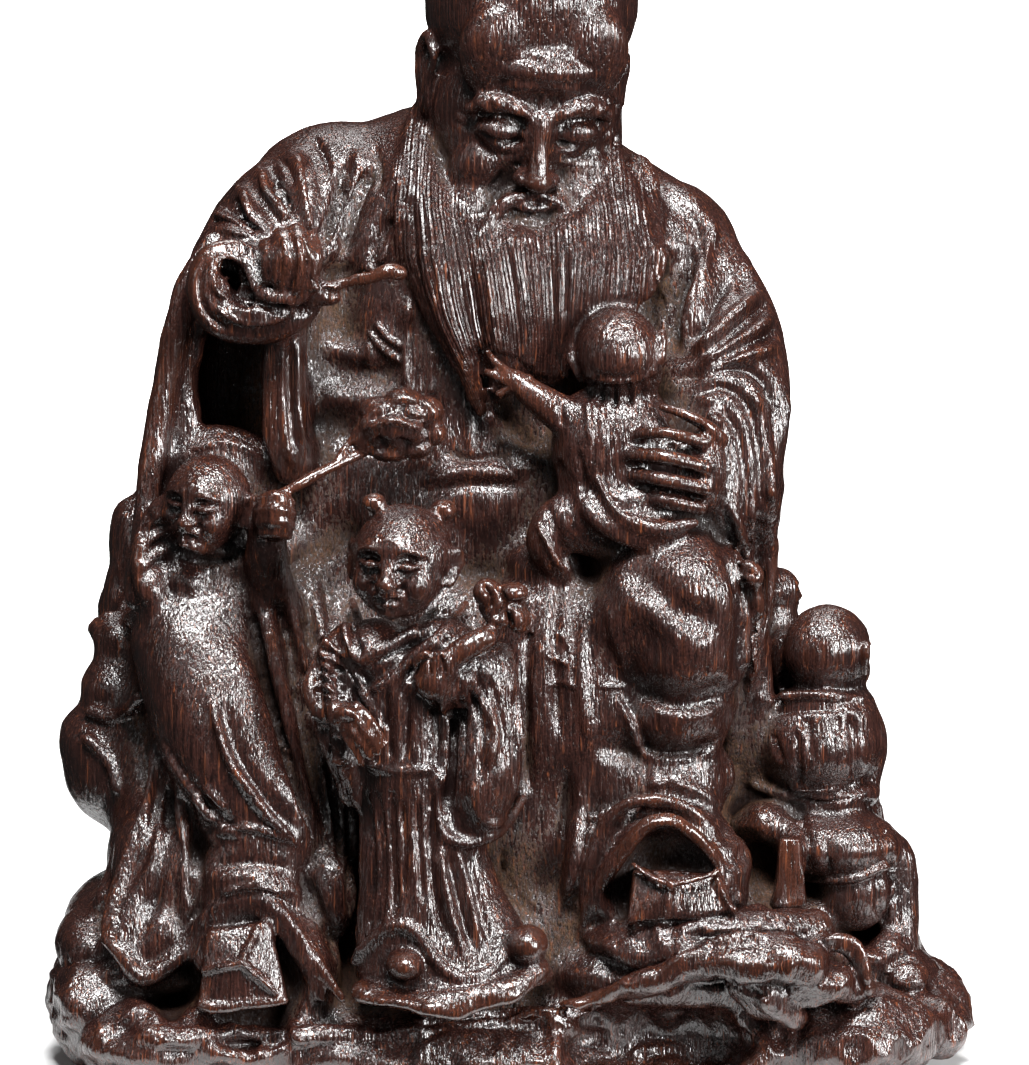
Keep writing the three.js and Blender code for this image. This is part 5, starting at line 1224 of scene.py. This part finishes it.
    ("ridge", 0.35, 0.6, [(7.2, 8.3), (11.4, 9.7), (14, 11.3), (16.5, 12.5), (20.5, 13.1), (24.9, 13.3)]),
    ("groove", 0.35, 0.6, [(14.7, 9.2), (18, 9.3), (21.4, 8.3)]),
    ("ridge", 0.3, 0.6, [(24.9, 12.5), (27.6, 13.1), (29.2, 11.5), (29.5, 9.2)]),
    # kneeling boy
    ("ridge", 0.3, 0.5, [(20.9, 32.7), (23.9, 33.4), (28.7, 33.2)]),
    ("groove", 0.25, 0.4, [(24.9, 31.5), (25.2, 27.9)]),
    ("groove", 0.25, 0.4, [(23.9, 30.4), (24.1, 27.3)]),
    ("groove", 0.25, 0.4, [(27.4, 31.7), (27.5, 30)]),
    ("groove", 0.25, 0.4, [(21.9, 30.2), (22.7, 27.7)]),
    ("ridge", 0.3, 0.5, [(22.9, 25.8), (25.5, 25.2), (27.9, 25.7)]),
    ("groove", 0.3, 0.5, [(23, 24.8), (26, 24.2), (29, 24.7)]),
    ("groove", 0.25, 0.4, [(26.4, 21.5), (26.7, 18.3)]),
    ("ridge", 0.3, 0.5, [(24.2, 18), (28, 17.7), (31.5, 18.9)]),
    ("ridge", 0.25, 0.5, [(31.6, 21.8), (32.1, 18.3), (32, 13.8)]),
    ("groove", 0.3, 0.5, [(30.9, 18.5), (31.1, 13.8)]),
    # cracks in the skirt
    ("ridge", 0.22, 0.3, [(3.3, 39), (4.4, 38.2), (4.9, 36.7), (4.5, 35), (5.5, 34.2)]),
    ("ridge", 0.22, 0.3, [(2.6, 37.1), (3.9, 36.5), (5.1, 36), (6.4, 36.3)]),
    ("ridge", 0.22, 0.3, [(3, 34.2), (4, 34.7), (5.2, 34.2), (5.9, 33.2)]),
    ("ridge", 0.22, 0.3, [(7.2, 34.2), (8.2, 34.3), (9.5, 34.2)]),
]
sculpt(carving, fineStrokes)


# Hair of the beard: strands that follow its seen edges, (height, left, right)

beardEdges = {
    "left": [
        (-2.5, 56.2), (-3.8, 59.6), (-5.3, 62.5), (-6.4, 65), (-7.2, 67.5), (-8.1, 70.8), (-8.5, 75), (-8.1, 79.2),
        (-7.5, 84.2),
    ],
    "right": [
        (6.4, 56.2), (7.4, 59.6), (8.7, 62.5), (9.5, 65), (10, 67.5), (10.3, 70.8), (10, 75), (9.5, 79.2), (9, 84.2),
    ],
}
beardOutline = [
    (-2.5, 56.2), (-3.8, 59.3), (-5.5, 62.5), (-6.6, 65), (-7.8, 67.5), (-9.6, 70.8), (-10.5, 75), (-9.5, 79.2),
    (-8.3, 84.2), (9.9, 84.2), (10.5, 79.2), (11.4, 75), (11.7, 70.8), (11, 66.7), (7.2, 63.3), (4.7, 60.8),
    (0.5, 59.2), (-1.5, 56.2),
]


beardComb = {
    "strands": (19, 0.15), "locks": (9, 0.16), "hairs": (37, 0.1),  # how many across, and how far they stand out
    "sway": (0.008, 0.4, 9),  # size, and waves down and across the beard
    "wander": (0.03, 2.6),  # size, and length
}
beardGaps = [  # the face, and the hands that cover the beard: (across, height), half width, half height
    ((0.7, 81.4), 7, 8.2), ((8.9, 62.3), 4.4, 4.4), ((-1.1, 60.7), 2.2, 1.6), ((2.2, 58.3), 3, 2),
]


def beardGrid(coords):
    # how far a vertex lies between the beard's edges, and how much it belongs to the beard
    across, height, depth = fromFront(coords)
    left = np.interp(height, [v[1] for v in beardEdges["left"]], [v[0] for v in beardEdges["left"]])
    right = np.interp(height, [v[1] for v in beardEdges["right"]], [v[0] for v in beardEdges["right"]])
    between = (across - left) / (right - left)
    share = insideOf(across, height, beardOutline, 1.2)
    for (x, z), wide, tall in beardGaps:
        spot = ((across - x) / wide) ** 2 + ((height - z) / tall) ** 2
        share = share * np.clip((spot - 1) * 3, 0, 1)
    return between, height, share * frontMost(across, height, depth) * (depth < -2)


def waved(between, height):
    # the strands sway a little on their way down
    size, down, sideways = beardComb["sway"]
    return between + size * np.sin(height * down + between * sideways)


def combBeard(piece):
    coords = readCoords(piece)
    between, height, share = beardGrid(coords)
    wander, length = beardComb["wander"]
    bend = waved(between, height) + wander * latticeNoise(coords * (1, 1, 0.12), length, 2)
    strands, locks, hairs = beardComb["strands"], beardComb["locks"], beardComb["hairs"]
    push = strands[1] * np.abs(np.sin(math.pi * strands[0] * bend))
    push = push + locks[1] * np.sin(math.pi * locks[0] * bend)
    push = push + hairs[1] * np.abs(np.sin(math.pi * hairs[0] * bend))
    writeCoords(piece, coords + readNormals(piece) * (push * share)[:, None])


combBeard(carving)


# Rock: rough where no figure stands

rockOutlines = [
    [(-40.3, 13.3), (-34.5, 9.6), (-30.3, 7.5), (-26.5, 7), (-18.6, 7), (-13.6, 6.7), (3.9, 8), (7.2, 13.3),
     (20.5, 16.7), (23.9, 14.6), (28, 11.7), (34.7, 12.5), (39.7, 10), (40.5, -1.7), (-41.1, -1.7)],
    [(-40.3, 45), (-32.8, 45), (-32.6, 37.5), (-40.3, 37.5)],
    [(19.3, 45), (21.8, 45), (21.4, 33.3), (19.3, 25.8), (20.5, 20), (18.5, 17.5), (16.8, 25), (19.3, 34.2)],
]


rockRelief = {"big": (0.55, 5.5), "small": (0.4, 2.2), "fine": (0.12, 0.9)}  # how far lumps stand out, and size
toolMarks = {"long": (0.09, 2.6), "short": (0.05, 1.2)}  # the same for the carver's marks on the figures
rockBehind = (6, 26)  # depth from which, and height up to which, all that is seen from behind is rock


def roughenRock(piece):
    coords = readCoords(piece)
    normals = readNormals(piece)
    across, height, depth = fromFront(coords)
    rock = np.zeros(len(coords))
    for outline in rockOutlines:
        rock = np.maximum(rock, insideOf(across, height, outline, 2))
    start, top = rockBehind
    behind = np.clip((depth - start) / 4, 0, 1) * np.clip((top - coords[:, 2]) / 4, 0, 1)
    rock = np.maximum(np.where(depth < start, rock, 0), behind)
    (big, bigSize), (small, smallSize), (fine, fineSize) = rockRelief.values()
    bigLumps = 1 - 2 * np.abs(latticeNoise(coords * (1, 1, 0.8), bigSize, 3))
    smallLumps = 1 - 2 * np.abs(latticeNoise(coords, smallSize, 5))
    push = big * (bigLumps - 0.4) + small * (smallLumps - 0.3) + fine * latticeNoise(coords, fineSize, 8)
    (long, longSize), (short, shortSize) = toolMarks.values()
    marks = long * latticeNoise(coords, longSize, 11) + short * latticeNoise(coords, shortSize, 12)
    push = push * rock + marks * (1 - rock)
    keep = np.clip(coords[:, 2] / 2, 0, 1)
    writeCoords(piece, coords + normals * (push * keep)[:, None])


roughenRock(carving)

# Flat underside
activate(carving)
bpy.ops.object.mode_set(mode="EDIT")
bpy.ops.mesh.select_all(action="SELECT")
bpy.ops.mesh.bisect(plane_co=lowCorner, plane_no=(0, 0, -1), use_fill=True, clear_outer=True)
bpy.ops.object.mode_set(mode="OBJECT")


thinning = {
    "triangles": 198000,
    "unseenShare": 0.8,  # how much of the sides' and back's detail goes
    "slack": 2.5,  # how far behind the front skin still counts as seen
}


def countTriangles(piece):
    piece.data.calc_loop_triangles()
    return len(piece.data.loop_triangles)


def thin(piece, ratio, group=""):
    activate(piece)
    decimate = piece.modifiers.new("thin", "DECIMATE")
    decimate.ratio = ratio
    decimate.vertex_group = group
    bpy.ops.object.modifier_apply(modifier=decimate.name)


# the sides and the back give up their fine detail first
across, height, depth = fromFront(readCoords(carving))
unseen = np.nonzero(~frontMost(across, height, depth, slack=thinning["slack"]))[0]
carving.vertex_groups.new(name="unseen").add([int(i) for i in unseen], 1, "REPLACE")
thin(carving, 1 - thinning["unseenShare"] * len(unseen) / len(across), "unseen")
print("thinned the unseen sides to", countTriangles(carving), "triangles")
thin(carving, thinning["triangles"] / countTriangles(carving))
carving.vertex_groups.clear()
print("thinned the whole to", countTriangles(carving), "triangles")
bpy.ops.object.shade_smooth()


# Wear, dust and painted crease shade: how much bamboo lies around each point, near and far

wearReach = (1.6, 4)


def solidAround(piece, reaches):
    # the filled space, solved from the surface on a grid and blurred by each reach (hundredths of the height)
    coords = readCoords(piece)
    piece.data.calc_loop_triangles()
    corners = np.empty(len(piece.data.loop_triangles) * 3, dtype=np.int32)
    piece.data.loop_triangles.foreach_get("vertices", corners)
    a, b, c = (coords[corners[k::3]] for k in range(3))
    facing = np.cross(b - a, c - a) / 2
    cell, margin = 0.6, 10
    low = coords.min(0) - margin
    shape = tuple(int(n) for n in np.ceil((coords.max(0) + margin - low) / cell))

    def spread(places):
        q = (places - low) / cell
        i = q.astype(int)
        f = q - i
        for corner in range(8):
            d = np.array([corner & 1, corner >> 1 & 1, corner >> 2 & 1])
            share = np.prod(np.where(d, f, 1 - f), axis=1)
            at = i + d
            yield (at[:, 0] * shape[1] + at[:, 1]) * shape[2] + at[:, 2], share

    waves = [np.fft.fftfreq(n) * 2 * math.pi / cell for n in shape[:2]]
    waves.append(np.fft.rfftfreq(shape[2]) * 2 * math.pi / cell)
    kx, ky, kz = np.meshgrid(*waves, indexing="ij", sparse=True)
    total = 0
    middles = (a + b + c) / 3
    for axis, k in enumerate((kx, ky, kz)):
        grid = np.zeros(shape[0] * shape[1] * shape[2])
        for at, share in spread(middles):
            grid += np.bincount(at, share * facing[:, axis], minlength=grid.size)
        total = total + 1j * k * np.fft.rfftn(grid.reshape(shape) / cell**3)
    square = kx**2 + ky**2 + kz**2
    square[0, 0, 0] = 1
    total = total / square
    total[0, 0, 0] = 0
    out = []
    for reach in reaches:
        filled = np.fft.irfftn(total * np.exp(-square * reach**2 / 2), shape)
        filled = (filled - filled[:4].mean()).ravel()
        out.append(sum(filled[at] * share for at, share in spread(coords)))
    return out


def storeValue(piece, name, values):
    layer = piece.data.attributes.new(name, "FLOAT", "POINT")
    layer.data.foreach_set("value", values.astype(np.float32))


middle, far = solidAround(carving, wearReach)
storeValue(carving, "middle", middle)
storeValue(carving, "far", far)
between, height, share = beardGrid(readCoords(carving))
storeValue(carving, "strand", waved(between, height))
storeValue(carving, "hair", share)
print("stored wear, dust and strands")


# Lacquer-dark bamboo: worn glossy heights, brown dust in the hollows, painted shade in creases and between beard
# strands, fine upright fibres

bambooLook = {
    "deep": (0.0075, 0.0032, 0.0029, 1),
    "skin": (0.043, 0.0148, 0.0108, 1),
    "worn": (0.17, 0.05, 0.019, 1),
    "dust": (0.2, 0.128, 0.074, 1),
    # noises: scale across and along the stem (per metre), detail, roughness
    "fibres": ((3000, 3000, 130), 2),
    "streaks": ((1000, 1000, 40), 3),
    "grain": ((2100, 2100, 900), 4, 0.7),
    "pits": ((1300, 1300, 560), 2),
    "marks": ((720, 720, 340), 2),
    "specks": ((4200, 4200, 3000), 1),
    "patches": ((170, 170, 90), 4),
    "pores": ((2500, 2500, 320), 2),
    "sway": ((260, 260, 60), 2),
    "hairsAcross": 52,
    # from where to where each of them grows from none to full (the crease is painted shade)
    "wornFrom": (0.12, 0.42),
    "dustFrom": (0.18, 0.64),
    "creaseShadeFrom": (0.04, 0.16),
    "poresFrom": (0.58, 0.66),
    # how strongly each of them colours the bamboo; the parting and the crease are painted shade
    "redShare": 0.85,
    "wornShare": 0.15,
    "dustShare": 0.55,
    "partingShadeShare": 0.8,
    "creaseShadeShare": 0.88,
    # gloss, polished and dusty
    "roughness": (0.24, 0.85),
    "specular": (0.62, 0.1),
    "coat": (0.4, 0),
    "coatRoughness": 0.18,
    "bump": 0.42,
    "bumpDepth": 0.00035,
}


def paintBamboo(look):
    material = bpy.data.materials.new("bamboo")
    material.use_nodes = True
    tree = material.node_tree
    shader = tree.nodes["Principled BSDF"]

    def node(kind, links={}, **settings):
        made = tree.nodes.new(kind)
        for name, value in settings.items():
            setattr(made, name, value)
        for name, value in links.items():
            if isinstance(value, bpy.types.NodeSocket):
                tree.links.new(value, made.inputs[name])
            else:
                made.inputs[name].default_value = value
        return made

    def attribute(name):
        return node("ShaderNodeAttribute", attribute_name=name).outputs["Fac"]

    def ramp(value, low, high, start=0.0, end=1.0):
        links = {"Value": value, "From Min": low, "From Max": high, "To Min": start, "To Max": end}
        return node("ShaderNodeMapRange", links).outputs["Result"]

    def maths(operation, *values):
        return node("ShaderNodeMath", dict(enumerate(values)), operation=operation).outputs[0]

    def blend(share, first, second):
        made = node("ShaderNodeMix", {"Factor": share}, data_type="RGBA")
        for slot, value in ((6, first), (7, second)):
            if isinstance(value, bpy.types.NodeSocket):
                tree.links.new(value, made.inputs[slot])
            else:
                made.inputs[slot].default_value = value
        return made.outputs[2]

    place = node("ShaderNodeTexCoord").outputs["Object"]

    def noise(name):
        scales, detail, rough = (*look[name], 0.55)[:3]  # the last is left out where it is the usual one
        moved = node("ShaderNodeMapping", {"Vector": place, "Scale": scales}).outputs["Vector"]
        settings = {"Vector": moved, "Scale": 1.0, "Detail": detail, "Roughness": rough}
        return node("ShaderNodeTexNoise", settings).outputs["Fac"]

    def times(*values):
        product = values[0]
        for value in values[1:]:
            product = maths("MULTIPLY", product, value)
        return product

    def plus(*values):
        total = values[0]
        for value in values[1:]:
            total = maths("ADD", total, value)
        return total

    def around0(value, strength):
        # a noise or a share of 0 to 1, turned into plus and minus half the strength
        return times(maths("SUBTRACT", value, 0.5), strength)

    fibres, streaks, grain, pits = noise("fibres"), noise("streaks"), noise("grain"), noise("pits")
    marks, specks, patches = noise("marks"), noise("specks"), noise("patches")

    # combed lines along the beard
    comb, hair = attribute("strand"), attribute("hair")
    comb = plus(comb, around0(noise("sway"), 0.03))
    strands = maths("ABSOLUTE", maths("SINE", times(comb, look["hairsAcross"] * math.pi)))
    lines = node("ShaderNodeCombineXYZ", {"X": times(comb, 130.0), "Y": times(comb, 3.0)})
    lines = node("ShaderNodeTexNoise", {"Vector": lines.outputs[0], "Scale": 1.0, "Detail": 2.0}).outputs["Fac"]
    # painted shade: the valleys between the beard's strands are darkened towards the deep colour
    partingShade = times(hair, ramp(strands, 0.05, 0.5, 1, 0))

    # where hands have worn it, where dust lies, where painted shade darkens the creases, and where it is pored or red
    near, broad = attribute("middle"), attribute("far")
    height = maths("SUBTRACT", 0.5, near)
    worn = ramp(plus(height, around0(streaks, 0.7)), *look["wornFrom"])
    hollow = plus(around0(near, 0.8), around0(broad, 1.4), around0(patches, 0.8), around0(grain, 1.4))
    dusty = ramp(hollow, *look["dustFrom"])
    creaseShade = ramp(maths("SUBTRACT", around0(near, 1.0), around0(broad, 0.4)), *look["creaseShadeFrom"])
    pores = times(ramp(noise("pores"), *look["poresFrom"]), ramp(patches, 0.35, 0.6, 0.3, 1))
    red = times(ramp(streaks, 0.5, 0.66), ramp(fibres, 0.56, 0.7))

    mottle = plus(fibres, around0(specks, 0.8))
    colour = blend(ramp(mottle, 0.3, 0.7), look["deep"], look["skin"])
    colour = blend(ramp(patches, 0.55, 0.3, 0, 0.6), colour, look["deep"])
    colour = blend(times(red, look["redShare"]), colour, look["worn"])
    colour = blend(times(worn, look["wornShare"]), colour, look["worn"])
    # dust is broken up by specks and pits, and thinned in the deepest broad hollows so that these stay dark as
    # painted shade
    dustBreakupAndShade = times(ramp(specks, 0.36, 0.62, 0.4, 1), ramp(pits, 0.3, 0.6, 0.6, 1), ramp(broad, 0.66, 0.86, 1, 0.4))
    colour = blend(times(dusty, look["dustShare"], dustBreakupAndShade), colour, look["dust"])
    # painted shade: narrow creases are darkened towards the deep colour, together with the real dark pores
    creaseShadeAndPores = times(maths("MAXIMUM", creaseShade, pores), look["creaseShadeShare"])
    colour = blend(maths("MAXIMUM", times(partingShade, look["partingShadeShare"]), creaseShadeAndPores), colour, look["deep"])
    tree.links.new(colour, shader.inputs["Base Color"])

    # gloss: high on the polish, lost in dust, and weaker at the outline
    rough = plus(ramp(dusty, 0, 0.6, *look["roughness"]), around0(fibres, 0.3))
    rough = maths("SUBTRACT", rough, times(worn, 0.08))
    tree.links.new(rough, shader.inputs["Roughness"])
    edge = ramp(node("ShaderNodeLayerWeight", {"Blend": 0.5}).outputs["Facing"], 0.4, 0.8, 1, 0.1)
    edge = times(edge, ramp(hair, 0, 1, 1, 0.6))
    tree.links.new(times(edge, ramp(dusty, 0, 0.7, *look["specular"])), shader.inputs["Specular IOR Level"])
    tree.links.new(times(edge, ramp(dusty, 0, 0.4, *look["coat"])), shader.inputs["Coat Weight"])
    shader.inputs["Coat Roughness"].default_value = look["coatRoughness"]

    relief = plus(
        times(hair, plus(times(strands, 1.6), times(lines, 3.0))),
        times(fibres, ramp(worn, 0, 0.5, 1.1, 0.45)),
        times(marks, ramp(worn, 0, 0.5, 0.6, 0.1)),
        times(grain, ramp(dusty, 0, 1, 0.08, 2.4)),
        times(ramp(pits, 0.36, 0.52), ramp(worn, 0, 0.5, 0.35, 0.03)),
    )
    relief = maths("SUBTRACT", relief, times(pores, ramp(worn, 0, 0.5, 0.8, 0.4)))
    settings = {"Height": relief, "Strength": look["bump"], "Distance": look["bumpDepth"]}
    bump = node("ShaderNodeBump", settings)
    tree.links.new(bump.outputs["Normal"], shader.inputs["Normal"])
    tree.links.new(bump.outputs["Normal"], shader.inputs["Coat Normal"])
    return material


carving.data.materials.append(paintBamboo(bambooLook))

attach(carving, "root")
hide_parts(carvingNode)
print("painted")


# Camera, light and floor

photoView = {
    "aim": Vector((0.0002, seenPlane * unit, 47.3 * unit)),
    "rise": math.radians(8),  # how far above the level it looks from
    "away": 1.6,
    "seenWidth": 0.15975,  # metres that fill the picture's width
}
lamps = {
    "overhead": {"place": (0.04, -0.48, 0.83), "size": (0.34, 0.22), "power": 20.5},
    "right": {"place": (0.75, -0.66, 0.3), "size": (0.16, 0.42), "power": 16},
    "left": {"place": (-0.7, -0.75, 0.4), "size": (0.2, 0.3), "power": 0.7},
    "backdrop": {"place": (0, 1.75, 1.2), "size": (0.5, 2.6), "power": 46, "aim": (0, 1.75, 0), "spread": 75},
}
room = {
    "glow": 0.045,
    "middle": (0, 1.7, lowCorner.z),
    "halves": (0.27, 1.758, 1),
    "nearShare": 0.37,  # the floor is as wide as the camera sees, so narrower in front
    "white": (0.9, 0.9, 0.9, 1),
}


def placeCamera():
    target, rise, away = photoView["aim"], photoView["rise"], photoView["away"]
    data = bpy.data.cameras.new("camera")
    data.lens = data.sensor_width * away / photoView["seenWidth"]
    data.clip_end = 20
    camera = bpy.data.objects.new("camera", data)
    camera.location = target + away * Vector((0, -math.cos(rise), math.sin(rise)))
    camera.rotation_euler = (math.pi / 2 - rise, 0, 0)
    bpy.context.collection.objects.link(camera)
    bpy.context.scene.camera = camera


def addSoftbox(name, place, size, power, aim=(0, 0, 0.09), spread=180):
    data = bpy.data.lights.new(name, "AREA")
    data.shape = "RECTANGLE"
    data.size, data.size_y = size
    data.energy = power
    data.spread = math.radians(spread)
    lamp = bpy.data.objects.new(name, data)
    lamp.location = place
    lamp.rotation_euler = (Vector(aim) - Vector(place)).to_track_quat("-Z", "Y").to_euler()
    bpy.context.collection.objects.link(lamp)


placeCamera()
for name, lamp in lamps.items():
    addSoftbox(name, **lamp)
world = bpy.data.worlds.new("studio")
bpy.context.scene.world = world
world.use_nodes = True
world.node_tree.nodes["Background"].inputs["Color"].default_value = (1, 1, 1, 1)
world.node_tree.nodes["Background"].inputs["Strength"].default_value = room["glow"]

bpy.ops.mesh.primitive_plane_add(size=2, location=room["middle"])
floor = bpy.context.object
floor.scale = room["halves"]
floor.name = "floor"
for corner in floor.data.vertices:
    if corner.co.y < 0:
        corner.co.x *= room["nearShare"]
floorPaint = bpy.data.materials.new("floor paint")
floorPaint.use_nodes = True
floorPaint.node_tree.nodes["Principled BSDF"].inputs["Base Color"].default_value = room["white"]
floor.data.materials.append(floorPaint)
bpy.context.scene.view_settings.view_transform = "Standard"
print("placed camera, lamps and floor")
